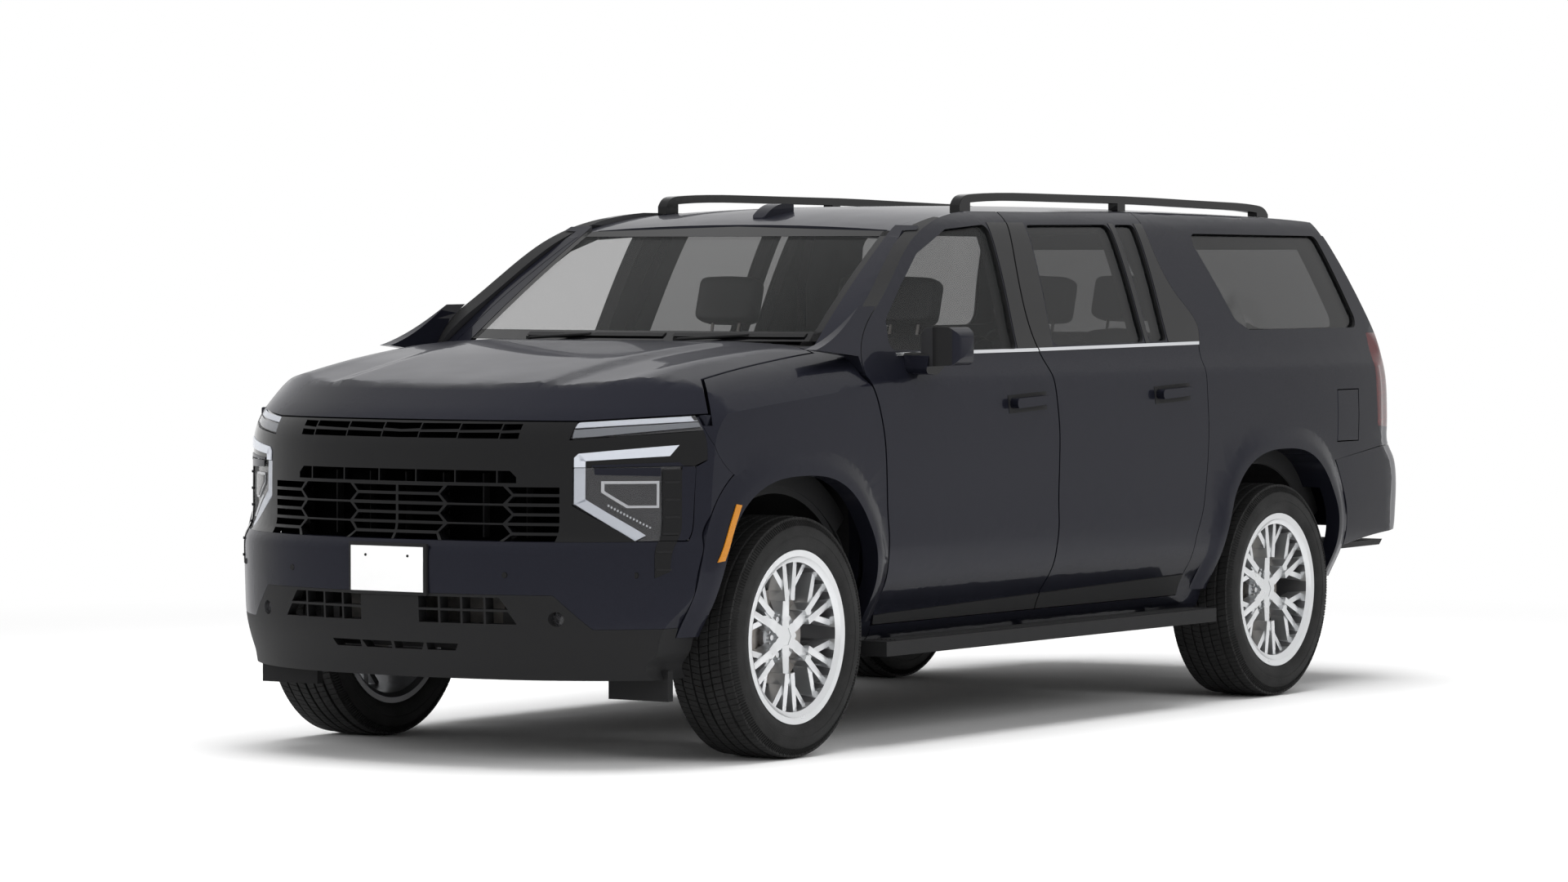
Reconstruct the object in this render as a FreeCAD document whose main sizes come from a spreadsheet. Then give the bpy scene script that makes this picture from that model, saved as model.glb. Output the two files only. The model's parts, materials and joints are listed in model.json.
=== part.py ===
"""Full-size sport utility vehicle with three rows of seats, drawn in its own frame.

X runs to the vehicle's left, Y to its rear and Z up, in millimetres.
The ground is Z = 0 and the origin lies under the middle of the vehicle.
"""
import FreeCAD, Part
import math
import os

V = FreeCAD.Vector
doc = FreeCAD.newDocument("suv")

# Driving sizes
SIZES = {
    "wheelbase": 3406, "front_overhang": 1000, "rear_overhang": 1342,
    "body_half_width": 1010, "track": 1732, "flare_proud": 20,
    "sill_height": 422, "belt_height": 1377, "roof_height": 1912,
    "hood_height": 1424,
    "body_wall": 70, "frame_depth": 45, "front_wall": 45, "roof_wall": 34,
    "door_wall": 62, "panel_gap": 8, "glass_thickness": 8,
    "tyre_radius": 415, "tyre_width": 280, "rim_radius": 285, "rim_width": 252,
    "hub_radius": 82, "disc_radius": 172, "stud_circle": 139.7, "stud_radius": 7,
    "hood_crease": 13, "arch_half_length": 482, "arch_rise": 553,
    "flare_reach": 105, "flare_seam": 4.5,
    "rail_spacing": 860, "rail_width": 82, "rail_depth": 150, "rail_bottom": 372,
    "floor_height": 560, "floor_thickness": 24,
    "seat_width": 520, "seat_depth": 520, "seat_thickness": 130, "seat_back": 640,
    "receiver_bore": 50.8, "receiver_wall": 6,
    "steering_wheel_radius": 190, "steering_rim": 15,
    "hood_half_width": 850,
    "roof_rail_width": 42, "roof_rail_height": 30,
    "board_width": 128, "board_height": 52,
    "seat_gap": 0.3,
}

sheet = doc.addObject("Spreadsheet::Sheet", "sizes")
for row, (alias, value) in enumerate(SIZES.items(), start=1):
    sheet.set("A%d" % row, alias)
    sheet.set("B%d" % row, str(value))
    sheet.setAlias("B%d" % row, alias)
doc.recompute()


def size(alias):
    """Current value of a driving size."""
    return float(getattr(sheet, alias))


# Stations that the driving sizes give
LENGTH = size("front_overhang") + size("wheelbase") + size("rear_overhang")
FRONT = -LENGTH / 2
REAR = LENGTH / 2
FRONT_AXLE = FRONT + size("front_overhang")
REAR_AXLE = FRONT_AXLE + size("wheelbase")
HALF = size("body_half_width")
HUB = size("tyre_radius")
GAP = size("panel_gap")

# Reference stations that the outlines below were measured at
REF_FRONT_AXLE, REF_REAR_AXLE = -1874.0, 1532.0
REF_SILL, REF_BELT, REF_ROOF = 422.0, 1377.0, 1912.0
REF_HALF = 1010.0


def along(y):
    """Carry a measured station along the vehicle to the present axles."""
    if y <= REF_FRONT_AXLE:
        return FRONT_AXLE + (y - REF_FRONT_AXLE) * size("front_overhang") / 1000.0
    if y >= REF_REAR_AXLE:
        return REAR_AXLE + (y - REF_REAR_AXLE) * size("rear_overhang") / 1342.0
    share = (y - REF_FRONT_AXLE) / (REF_REAR_AXLE - REF_FRONT_AXLE)
    return FRONT_AXLE + share * size("wheelbase")


def level(z):
    """Carry a measured height to the present sill, belt and roof."""
    sill, belt, roof = size("sill_height"), size("belt_height"), size("roof_height")
    if z <= REF_SILL:
        return z + sill - REF_SILL
    if z <= REF_BELT:
        return sill + (z - REF_SILL) * (belt - sill) / (REF_BELT - REF_SILL)
    return belt + (z - REF_BELT) * (roof - belt) / (REF_ROOF - REF_BELT)


def across(x):
    """Carry a measured half width to the present body width."""
    return x * HALF / REF_HALF


def curve(table, t):
    """Height at t of the smooth curve through the rows of a table."""
    last = len(table) - 1
    if t <= table[0][0]:
        return table[0][1]
    if t >= table[last][0]:
        return table[last][1]
    i = next(k for k in range(last) if table[k + 1][0] >= t)
    (t0, v0), (t1, v1) = table[i], table[i + 1]
    run = t1 - t0
    slope = (v1 - v0) / run
    before = slope if i == 0 else (v1 - table[i - 1][1]) / (t1 - table[i - 1][0])
    after = slope if i + 1 == last else (table[i + 2][1] - v0) / (table[i + 2][0] - t0)
    s = (t - t0) / run
    return (v0 * (2 * s**3 - 3 * s**2 + 1) + v1 * (3 * s**2 - 2 * s**3)
            + run * before * (s**3 - 2 * s**2 + s) + run * after * (s**3 - s**2))


# Skin profiles: height and inset of the side, front and rear faces
SIDE_INSET = [(300, 125), (380, 112), (440, 92), (490, 72), (545, 38), (600, 14), (650, 5),
              (700, 0), (740, -1), (800, 3), (900, 4), (1000, 1), (1090, -1), (1180, 2),
              (1250, 5), (1284, 11), (1318, 27), (1360, 46),
              (1560, 117), (1720, 177), (1800, 213), (1840, 238), (1868, 268), (1885, 295),
              (1896, 330)]
NOSE_SETBACK = [(290, 70), (400, 30), (465, 10), (560, 4), (650, 0), (735, 3), (766, 20),
                (800, 46), (900, 50), (1014, 52), (1102, 60), (1165, 99), (1215, 158),
                (1262, 222), (1330, 330), (1500, 800)]
TAIL_SETBACK = [(500, 90), (560, 50), (620, 18), (720, 4), (800, 0), (880, 12), (935, 50),
                (960, 76), (1013, 78), (1180, 84), (1276, 110), (1393, 180), (1560, 310),
                (1750, 462), (1830, 530), (1912, 600)]
ROOF_DROP = [(-900, 125), (-762, 81), (-600, 48), (-400, 22), (0, 6), (500, 0), (1000, 0),
             (1600, 8), (2157, 24), (2450, 44), (2700, 70)]
HOOD_DROP = [(-2874, 222), (-2650, 160), (-2378, 108), (-2094, 62), (-1808, 28), (-1500, 0),
             (-1200, -16)]


def side_x(y, z):
    """Half width of the body side."""
    nose_start, tail_start = along(-1474), REAR_AXLE
    taper = 0.0
    if y < nose_start:
        taper = 65 * ((nose_start - y) / (nose_start - FRONT)) ** 2
    if y > tail_start:
        taper = 60 * ((y - tail_start) / (REAR - tail_start)) ** 2
    ref = [(level(h), inset) for h, inset in SIDE_INSET]
    return HALF - curve(ref, z) - taper


def nose_y(x, z):
    """Station of the front face."""
    m = x / HALF * 1.01
    return FRONT + curve([(level(h), s) for h, s in NOSE_SETBACK], z) + 184 * m**2 + 300 * m**4


def tail_y(x, z):
    """Station of the rear face."""
    m = x / HALF * 1.01
    return REAR - curve([(level(h), s) for h, s in TAIL_SETBACK], z) - 350 * m**6


def roof_z(x, y):
    """Height of the roof skin."""
    return size("roof_height") - curve([(along(a), d) for a, d in ROOF_DROP], y) - 5e-5 * x * x


def soft_step(t):
    """Smooth rise from 0 to 1."""
    t = min(1.0, max(0.0, t))
    return t * t * (3 - 2 * t)


def hood_ridges(y):
    """Distance of the inner and outer crease of the hood from the middle."""
    t = min(1.0, max(0.0, (y - along(-2530)) / (along(-1650) - along(-2530))))
    return across(452 + 108 * t**2), across(712 + 60 * t**1.5)


def hood_z(x, y):
    """Height of the hood and fender tops."""
    m = abs(x) / HALF * 1.01
    base = size("hood_height") - curve([(along(a), d) for a, d in HOOD_DROP], y) - 155 * m**9
    inner, outer = hood_ridges(y)
    dome = size("hood_crease") * soft_step((inner + 22 - abs(x)) / 44)
    ridge = 0.6 * size("hood_crease") * max(0.0, 1 - ((abs(x) - outer) / 75) ** 2) ** 2
    fade = soft_step((y - along(-2800)) / 190) * soft_step((along(-1540) - y) / 160)
    return base + (dome + ridge) * fade


GLASS_FOOT, GLASS_HEAD = 1415, 1831


def windshield_y(x, z):
    """Station of the windshield's outer face."""
    m = x / HALF * 1.01
    t = (z - level(GLASS_FOOT)) / (level(GLASS_HEAD) - level(GLASS_FOOT))
    foot = along(-1500) + 180 * m**2
    head = along(-762) + 25 * m**2
    return foot + (head - foot) * t - 60 * t * (1 - t)


def steps(low, high, count):
    """Evenly spaced values from low to high."""
    return [low + (high - low) * i / (count - 1) for i in range(count)]


def skin(place, us, vs):
    """Smooth face through place(u, v)."""
    surface = Part.BSplineSurface()
    surface.interpolate([[place(u, v) for v in vs] for u in us])
    return surface.toShape()


def drawn_skin(place, us, vs):
    """Smooth face whose poles are place(u, v), so that it never overshoots them."""
    poles = [[place(u, v) for v in vs] for u in us]
    knots, mults = [], []
    for count in (len(us), len(vs)):
        knots.append([float(k) for k in range(count - 2)])
        mults.append([4] + [1] * (count - 4) + [4])
    surface = Part.BSplineSurface()
    surface.buildFromPolesMultsKnots(poles, mults[0], mults[1], knots[0], knots[1], False, False, 3, 3)
    return surface.toShape()


def side_solid(inner, outer, back=None):
    """Solid from inner to outer, both measured inwards from the left side skin."""
    us = [FRONT - 60, along(-2400), along(-1900), along(-1474), along(-600), along(400),
          REAR_AXLE, along(2000), along(2450), REAR + 60]
    vs = [level(h) for h, _ in SIDE_INSET]
    face = skin(lambda y, z: V(side_x(y, z) - outer, y, z), us, vs)
    return face.extrude(V(outer - inner, 0, 0))


def hood_lines(y):
    """Lines along the hood that follow its creases."""
    inner, outer = hood_ridges(y)
    right = [inner * 0.45, inner - 60, inner - 22, inner + 22, inner + 62, outer - 62, outer - 25,
             outer + 20, outer + 68]
    right += steps(outer + 68, HALF + 60, 7)[1:]
    return [-x for x in reversed(right)] + [0] + right


def hood_point(k, y, offset):
    """Point of the hood skin on line k."""
    x = hood_lines(y)[k]
    return V(x, y, hood_z(x, y) - offset)


def sweep_solid(kind, offset, reach):
    """Solid behind one of the end, roof or hood skins, reach deep."""
    xs = steps(-HALF - 60, HALF + 60, 15)
    if kind == "nose":
        heights = steps(level(290), level(1490), 25)
        face = skin(lambda x, z: V(x, nose_y(x, z) + offset, z), xs, heights)
        return face.extrude(V(0, reach, 0))
    if kind == "tail":
        heights = steps(level(500), level(1912), 22)
        face = skin(lambda x, z: V(x, tail_y(x, z) - offset, z), xs, heights)
        return face.extrude(V(0, -reach, 0))
    if kind == "roof":
        ys = [along(a) for a, _ in ROOF_DROP]
        face = skin(lambda x, y: V(x, y, roof_z(x, y) - offset), steps(-900, 900, 5), ys)
        return face.extrude(V(0, 0, -reach))
    if kind == "hood":
        ys = steps(along(-2900), along(-1180), 18)
        face = drawn_skin(lambda k, y: hood_point(k, y, offset), range(len(hood_lines(ys[0]))), ys)
        return face.extrude(V(0, 0, -reach))
    face = skin(lambda x, z: V(x, windshield_y(x, z) + offset, z), steps(-900, 900, 5),
                steps(level(1360), level(1880), 5))
    return face.extrude(V(0, reach, 0))


def wire(runs):
    """Closed wire from runs of points: two points make a line, more a smooth curve."""
    edges, here = [], None
    for run in runs:
        points = ([here] if here is not None and (run[0] - here).Length > 1e-6 else []) + list(run)
        if len(points) == 2:
            edges.append(Part.makeLine(points[0], points[1]))
        else:
            bend = Part.BSplineCurve()
            bend.interpolate(points)
            edges.append(bend.toShape())
        here = points[-1]
    first = edges[0].Vertexes[0].Point
    if (here - first).Length > 1e-6:
        edges.append(Part.makeLine(here, first))
    return Part.Wire(Part.sortEdges(edges)[0])


def side_outline(*runs):
    """Face in the side view from measured (Y, Z) points."""
    return Part.Face(wire([[V(0, along(y), level(z)) for y, z in run] for run in runs]))


def inset_outline(runs, by):
    """Side-view face whose whole edge lies inside the measured one by a gap."""
    chain = [point for run in runs for point in run[:-1]]
    area = sum(a[0] * b[1] - b[0] * a[1] for a, b in zip(chain, chain[1:] + chain[:1]))
    turn = by if area > 0 else -by
    moved = []
    for i, (y, z) in enumerate(chain):
        before, after = chain[i - 1], chain[(i + 1) % len(chain)]
        into = V(0, y - before[0], z - before[1]).normalize()
        away = V(0, after[0] - y, after[1] - z).normalize()
        normal = V(0, -into.z - away.z, into.y + away.y).normalize()
        scale = turn / max(0.4, normal.y * -into.z + normal.z * into.y)
        moved.append((y + normal.y * scale, z + normal.z * scale))
    shifted, start = [], 0
    for run in runs:
        stop = start + len(run) - 1
        shifted.append([moved[k % len(moved)] for k in range(start, stop + 1)])
        start = stop
    return side_outline(*shifted)


def through_x(face, low=0.0, high=1400.0):
    """Prism across the vehicle over one side."""
    moved = face.copy()
    moved.translate(V(low, 0, 0))
    return moved.extrude(V(high - low, 0, 0))


def through_y(face, low, high):
    """Prism along the vehicle."""
    moved = face.copy()
    moved.translate(V(0, low, 0))
    return moved.extrude(V(0, high - low, 0))


def through_z(face, low, high):
    """Upright prism."""
    moved = face.copy()
    moved.translate(V(0, 0, low))
    return moved.extrude(V(0, 0, high - low))


def block(x0, x1, y0, y1, z0, z1):
    """Box between two corners."""
    return Part.makeBox(x1 - x0, y1 - y0, z1 - z0, V(x0, y0, z0))


def mirrored(shape):
    """The same shape on the vehicle's right."""
    return shape.mirror(V(0, 0, 0), V(1, 0, 0))


def both(shape):
    """A pair, left and right."""
    return Part.makeCompound([shape, mirrored(shape)])


def only_solids(shape):
    """Solids of a shape as one compound, or the lone solid."""
    solids = [solid if solid.Volume > 0 else solid.reversed() for solid in shape.Solids]
    return solids[0] if len(solids) == 1 else Part.makeCompound(solids)


nodes = {}


def keep(name, shape):
    """Add a finished shape to the document under its own label."""
    item = doc.addObject("Part::Feature", name)
    item.Label = name
    item.Shape = only_solids(shape)
    nodes[name] = item
    return item


def primitive(kind, name, **expressions):
    """Part primitive with every size bound to the sheet."""
    item = doc.addObject(kind, name)
    for prop, text in expressions.items():
        target = "Placement.Base." + prop if prop in ("x", "y", "z") else prop
        item.setExpression(target, str(text))
    return item


AXLE_F = "-(sizes.front_overhang + sizes.wheelbase + sizes.rear_overhang) / 2 + sizes.front_overhang"
AXLE_R = AXLE_F + " + sizes.wheelbase"


# Door outlines in the side view
FRONT_EDGE = [(-1290, 422), (-1315, 614), (-1323, 844), (-1351, 1096), (-1402, 1245), (-1442, 1302)]
A_PILLAR_EDGE = [(-1442, 1302), (-1405, 1405), (-1344, 1470), (-1213, 1556), (-1048, 1666),
                 (-877, 1771), (-751, 1822), (-620, 1856), (-445, 1880), (-300, 1890)]
B_GAP = [(-128, 1890), (-152, 1831), (-225, 1377), (-194, 1287), (-166, 1149), (-159, 801),
         (-172, 620), (-185, 422)]
C_GAP = [(858, 1892), (840, 1790), (909, 1573), (1000, 1440), (956, 1361), (943, 1270),
         (946, 1144), (914, 765), (868, 655), (861, 507), (861, 422)]

FRONT_DOOR_RUNS = [FRONT_EDGE, A_PILLAR_EDGE, [(-300, 1890), (-128, 1890)], B_GAP,
                   [B_GAP[-1], FRONT_EDGE[0]]]
REAR_DOOR_RUNS = [B_GAP[::-1], [(-128, 1890), (858, 1892)], C_GAP, [C_GAP[-1], B_GAP[-1]]]
FRONT_DOOR, REAR_DOOR = inset_outline(FRONT_DOOR_RUNS, 0), inset_outline(REAR_DOOR_RUNS, 0)


def rounded(points, radius):
    """Closed wire of straight runs with every corner rounded."""
    edges, count = [], len(points)
    stops = []
    for i, corner in enumerate(points):
        into = (points[i - 1] - corner).normalize()
        away = (points[(i + 1) % count] - corner).normalize()
        half = into.getAngle(away) / 2
        reach = min(radius / math.tan(half), 0.45 * (points[i - 1] - corner).Length,
                    0.45 * (points[(i + 1) % count] - corner).Length)
        middle = (into + away).normalize()
        centre_gap = reach / math.cos(half)
        bulge = centre_gap - reach * math.tan(half)
        stops.append((corner + into * reach, corner + middle * bulge, corner + away * reach))
    for i, (start, middle, end) in enumerate(stops):
        edges.append(Part.Arc(start, middle, end).toShape())
        edges.append(Part.makeLine(end, stops[(i + 1) % count][0]))
    return Part.Wire(edges)


def side_panel(points, radius=40):
    """Rounded face in the side view from measured (Y, Z) corners."""
    return Part.Face(rounded([V(0, along(y), level(z)) for y, z in points], radius))


def front_panel(points, radius=20):
    """Rounded face in the front view from measured (X, Z) corners."""
    return Part.Face(rounded([V(across(x), 0, level(z)) for x, z in points], radius))


def plan_panel(points, radius=20):
    """Rounded face in plan from measured (X, Y) corners."""
    return Part.Face(rounded([V(across(x), along(y), 0) for x, y in points], radius))


FRONT_WINDOW = side_panel([(-1228, 1388), (-1196, 1496), (-1038, 1612), (-858, 1728), (-600, 1816),
                           (-296, 1836), (-374, 1380)], 30)
REAR_WINDOW = side_panel([(-108, 1390), (-22, 1834), (582, 1838), (560, 1394)], 30)
REAR_VENT = side_panel([(600, 1396), (628, 1838), (772, 1838), (730, 1398)], 20)
QUARTER_WINDOW = side_panel([(1142, 1806), (2211, 1800), (2345, 1432), (1400, 1432), (1310, 1470)], 40)
FRONT_APERTURE = side_panel([(-1240, 470), (-1270, 1180), (-1330, 1300), (-1290, 1420), (-1160, 1530),
                             (-830, 1735), (-620, 1800), (-190, 1832), (-280, 1377), (-215, 1100),
                             (-220, 470)], 40)
REAR_APERTURE = side_panel([(-90, 1832), (-170, 1377), (-105, 1100), (-110, 470), (800, 470),
                            (800, 640), (868, 800), (895, 1140), (895, 1300), (935, 1430),
                            (850, 1580), (790, 1780), (796, 1834)], 40)


def rounded_arch(axle, half_length, rise, power):
    """Wheel arch opening in the side view, open down to the ground."""
    points = []
    for step in range(17):
        angle = math.pi * step / 16
        c, s = math.cos(angle), math.sin(angle)
        points.append(V(0, axle - math.copysign(abs(c) ** (2 / power), c) * half_length,
                        HUB + s ** (2 / power) * rise))
    low = 60.0
    return Part.Face(wire([points, [points[-1], V(0, axle + half_length, low)],
                           [V(0, axle + half_length, low), V(0, axle - half_length, low)]]))


def arch_opening(axle):
    """Opening of one wheel arch."""
    return rounded_arch(axle, size("arch_half_length"), size("arch_rise"), 2.6)


def arch_flare(axle, grow=0.0):
    """Outer edge of one wheel arch's flare."""
    reach = size("flare_reach") - 12 + grow
    return rounded_arch(axle, size("arch_half_length") + reach, size("arch_rise") + reach, 2.8)


FLARE_PROFILE = [(0.0, 1.0), (0.22, 0.98), (0.5, 0.72), (0.78, 0.22), (1.0, -0.06)]


def flare(axle):
    """Left flare that swells out of the body side towards the arch's edge."""
    proud, grow = size("flare_proud"), size("flare_reach")

    def place(angle, share):
        c, s = math.cos(angle), math.sin(angle)
        outward = grow * share
        reach = curve(FLARE_PROFILE, share) * proud
        y = axle - math.copysign(abs(c) ** (2 / 2.8), c) * (size("arch_half_length") - 12 + outward)
        z = HUB + math.copysign(abs(s) ** (2 / 2.8), s) * (size("arch_rise") - 12 + outward)
        z = z if s >= 0 else HUB + s * 260
        return V(side_x(y, z) + reach, y, z)

    angles = [math.pi * step / 20 for step in range(-3, 24)]
    face = skin(place, angles, [share for share, _ in FLARE_PROFILE])
    ring = face.extrude(V(-60, 0, 0))
    return ring.cut([through_x(arch_opening(axle)), block(0, 1400, FRONT, REAR, 0, level(440))])


FRONT_ARCH, REAR_ARCH = arch_opening(FRONT_AXLE), arch_opening(REAR_AXLE)
REAR_FLARE = arch_flare(REAR_AXLE, size("flare_seam"))
ROOF_SEAM, DITCH = across(710), across(640)

# Places where the panels meet
GATE_SEAM = along(2235)


def below(shape, *solids):
    """Part of a shape that lies inside every given solid."""
    for solid in solids:
        shape = shape.common(solid)
    return shape


# Waste solids: what lies outside the skins
ABOVE_ROOF = sweep_solid("roof", 0, -700)
ABOVE_HOOD = sweep_solid("hood", 0, -900)
AHEAD_OF_GLASS = sweep_solid("windshield", -2, -3000)
BEHIND_TAIL = sweep_solid("tail", 0, -900)
AHEAD_OF_NOSE = sweep_solid("nose", 0, -900)

TAIL_WALL = 46
FENDER_TOP = [(-1690, 1395), (-1475, 1472), (-1238, 1610), (-1052, 1726), (-912, 1811),
              (-751, 1835)]


GATE_HALF = [(0, 962), (846, 962), (846, 1400), (770, 1760), (770, 1900), (0, 1900)]


def grown_gate(grow):
    """Half outline of the gate, moved out by a gap."""
    return [(x + grow if x > 0 else x, z - grow if z < 1000 else z + 60 * (z > 1800)) for x, z in GATE_HALF]


def flat_zone(points):
    """Straight-sided face in the front view from measured (X, Z) corners."""
    corners = [V(across(x), 0, level(z)) for x, z in points]
    return Part.Face(Part.makePolygon(corners + corners[:1]))


def body_side():
    """Left body side: quarter, sill, pillars and the rail over the doors."""
    depth = size("body_wall") + size("frame_depth")
    zone = side_outline(FENDER_TOP, [(-751, 1835), (-700, 1905)], [(-700, 1905), (2900, 1905)],
                        [(2900, 1905), (2900, 960)], [(2900, 960), (2405, 955)],
                        [(2405, 955), (1930, 903)], [(1930, 903), (1930, 350)],
                        [(1930, 350), (-1400, 350)], [(-1400, 350), (-1400, 1300)],
                        [(-1400, 1300), (-1441, 1314)], [(-1441, 1314), (-1441, 1370)])
    shell = side_solid(0, depth).common(through_x(zone))
    layer = side_solid(-60, size("body_wall"))
    fender = side_outline([(-2000, 300), (-1290, 300)], [(-1290, 300), (-1290, 422)], FRONT_EDGE,
                          [(-1442, 1302), (-2000, 1302)])
    gate = through_y(flat_zone(grown_gate(GAP)), along(1900), REAR + 50)
    gate_pocket = sweep_solid("tail", TAIL_WALL + GAP, -300).common(gate)
    tools = [through_x(FRONT_APERTURE), through_x(REAR_APERTURE), through_x(QUARTER_WINDOW),
             through_x(REAR_ARCH), BEHIND_TAIL, gate_pocket, ABOVE_ROOF, AHEAD_OF_GLASS]
    tools += [layer.common(through_x(face)) for face in (FRONT_DOOR, REAR_DOOR, fender)]
    ditch = DITCH + size("seat_gap")
    tools += [block(0, ditch, FRONT, REAR, level(1780), 2500),
              block(0, across(716) + GAP, GATE_SEAM - GAP, REAR, level(1790), 2500)]
    shell = shell.cut(tools)
    rail = side_solid(0, 260).common(block(ditch, across(900), along(-760), along(2225),
                                           level(1780), level(1890)))
    rail = rail.cut([sweep_solid("roof", size("roof_wall"), 1700), ABOVE_ROOF,
                     block(ROOF_SEAM, 1200, along(-1000), along(1000), 0, 2500)])
    swell = flare(REAR_AXLE).cut(through_x(REAR_DOOR))
    pillar = front_pillar().cut(layer.common(through_x(FRONT_DOOR)))
    return shell.fuse([rail, swell, pillar] + door_pads() + gate_pads())


def front_pillar():
    """Face of the left front pillar beside the windshield."""
    layer = sweep_solid("windshield", 0, 34).common(side_solid(0, 330))
    zone = flat_zone([(757, 1404), (1000, 1404), (1000, 1500), (760, 1840), (672, 1840), (672, 1810)])
    ahead = side_outline(FENDER_TOP, [(-751, 1835), (-751, 1300)], [(-751, 1300), (-1690, 1300)],
                         [(-1690, 1300), (-1690, 1395)])
    return layer.common([through_y(zone, along(-1700), along(-600))]).common(through_x(ahead))


def door_pads():
    """Hinge plates on the body, close behind the front edge of each door."""
    layer = side_solid(size("door_wall") + size("seat_gap"), size("body_wall") + 8)
    pads = []
    for y, heights in ((-1290, (640, 1000)), (-148, (640, 1000))):
        for z in heights:
            zone = side_panel([(y, z), (y, z + 90), (y + 38, z + 90), (y + 38, z)], 4)
            pads.append(layer.common(through_x(zone)))
    return pads


def gate_pads():
    """Stops on the body that the shut tail gate rests against."""
    layer = sweep_solid("tail", TAIL_WALL + size("seat_gap"), GAP + 8)
    zone = flat_zone([(786, 1450), (814, 1450), (806, 1510), (778, 1510)])
    return [layer.common(through_y(zone, along(1900), REAR + 50))]


def door_handle(y0, y1, z0, z1):
    """Pull handle that stands off the left door on its two ends."""
    zone = side_panel([(y0, z0), (y0, z1 - 8), (y1, z1), (y1, z0 + 12)], 16)
    bar = side_solid(-34, 12).common(through_x(zone))
    ends = [side_solid(-30, 34).common(through_x(side_panel([(y, z0 + 8), (y, z1 - 14), (y + 34, z1 - 14),
                                                              (y + 34, z0 + 8)], 8)))
            for y in (y0 + 8, y1 - 42)]
    return bar.fuse(ends)


def door(runs, windows):
    """Left door with its window openings cut."""
    slab = side_solid(0, size("door_wall")).common(through_x(inset_outline(runs, GAP / 2)))
    cant = block(0, ROOF_SEAM + GAP, FRONT, REAR, level(1835), level(2000))
    return slab.cut([through_x(window) for window in windows] + [cant])


def pane(windows):
    """Glass let into the window openings of one side."""
    inset = 12
    layer = side_solid(inset, inset + size("glass_thickness"))
    return Part.makeCompound([layer.common(through_x(window)) for window in windows])


def nose_shell(wall, under_hood):
    """Left half of the front end's outer wall, from the bumper to the doors."""
    room = block(0, 1100, FRONT - 4, along(-1290), level(300), level(1430))
    mass = room.common(side_solid(0, 1050)).cut(AHEAD_OF_NOSE)
    hollow = block(-10, 1100, FRONT - 50, along(-1280), level(290), level(1430))
    hollow = hollow.common(side_solid(wall, 1060))
    hollow = hollow.cut(sweep_solid("nose", wall, -900))
    if under_hood:
        mass, hollow = mass.cut(ABOVE_HOOD), hollow.cut(sweep_solid("hood", wall, -900))
    return mass.cut(hollow)


TOP_SHELL = nose_shell(size("front_wall"), True)
FACE_SHELL = nose_shell(size("front_wall"), False)
COWL_HALF = across(792)
FENDER_GAP = [(-2330, 1262), (-2372, 1201), (-2378, 1128), (-2325, 1035), (-2240, 978)]


def hood_plan(grow):
    """Left half of the hood in plan, grown towards the fender."""
    half = size("hood_half_width") + grow
    return Part.Face(Part.makePolygon([
        V(0, along(-1600) - grow, 0), V(half, along(-1560) + grow, 0), V(half, along(-2240) + grow, 0),
        V(half + 56, along(-2302) + grow, 0), V(across(1100), along(-2480) + grow, 0),
        V(across(1100), FRONT - 60, 0), V(-5, FRONT - 60, 0), V(-5, along(-1600) - grow, 0),
        V(0, along(-1600) - grow, 0)]))


def hood():
    """Hood skin between the fender gaps, with its front face down to the grille."""
    over_lamps = flat_zone([(-20, 1168), (632, 1168), (1000, 1194), (1100, 1194), (1100, 1600), (-20, 1600)])
    half = TOP_SHELL.common(through_z(hood_plan(-GAP / 2), 1100, 1600))
    half = half.common(through_y(over_lamps, FRONT - 50, along(-1300)))
    return half.fuse(mirrored(half))


def fender(shell):
    """Left front fender with its arch and flare."""
    zone = side_outline(FENDER_GAP, [(-2240, 978), (-2240, 700)], [(-2240, 700), (-1300, 350)],
                        [(-1300, 350), (-1290, 422)], FRONT_EDGE, [(-1442, 1302), (-1442, 1500)],
                        [(-1442, 1500), (-2330, 1500)], [(-2330, 1500), (-2330, 1262)])
    panel = shell.common(through_x(zone)).cut([
        block(-10, COWL_HALF, along(-1640), along(-1200), level(1150), 1700),
        through_z(hood_plan(GAP / 2), level(1150), 1700), through_x(FRONT_ARCH),
        side_solid(-60, size("body_wall") + 10).common(through_x(inset_outline(FRONT_DOOR_RUNS, -GAP / 2)))])
    rear_edge = side_outline([(-1600, 300), (-1290, 300)], [(-1290, 300), (-1290, 422)], FRONT_EDGE,
                             [(-1442, 1302), (-1600, 1302)])
    ahead = block(0, 1400, FRONT, along(-1600), 0, 1302)
    swell = flare(FRONT_AXLE).common(ahead.fuse(through_x(rear_edge)))
    swell = swell.cut(through_x(inset_outline(FRONT_DOOR_RUNS, -GAP / 2)))
    return panel.fuse(swell).cut(front_pillar())


LAMP_STRIP = front_panel([(626, 1106), (632, 1164), (1000, 1190), (1000, 1140)], 8)
LAMP_SIDE = front_panel([(640, 1012), (640, 888), (822, 768), (938, 768), (946, 1016)], 8)


LAMP_END = -2385


def nose_zone(points, back=-2150):
    """Both halves of the front wall inside a front-view outline."""
    zone = through_y(flat_zone(points), FRONT - 50, along(back))
    half = FACE_SHELL.common(zone)
    return half.fuse(mirrored(half))


CELL_ROWS = [920, 855, 791]
SLAT_PLACES = [78, 235, 392]


def slot_tool(points):
    """Opening through the nose and its reflection, from measured (X, Z) points."""
    tool = through_y(flat_zone(points), FRONT - 50, FRONT + 400)
    return [tool, mirrored(tool)]


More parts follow.
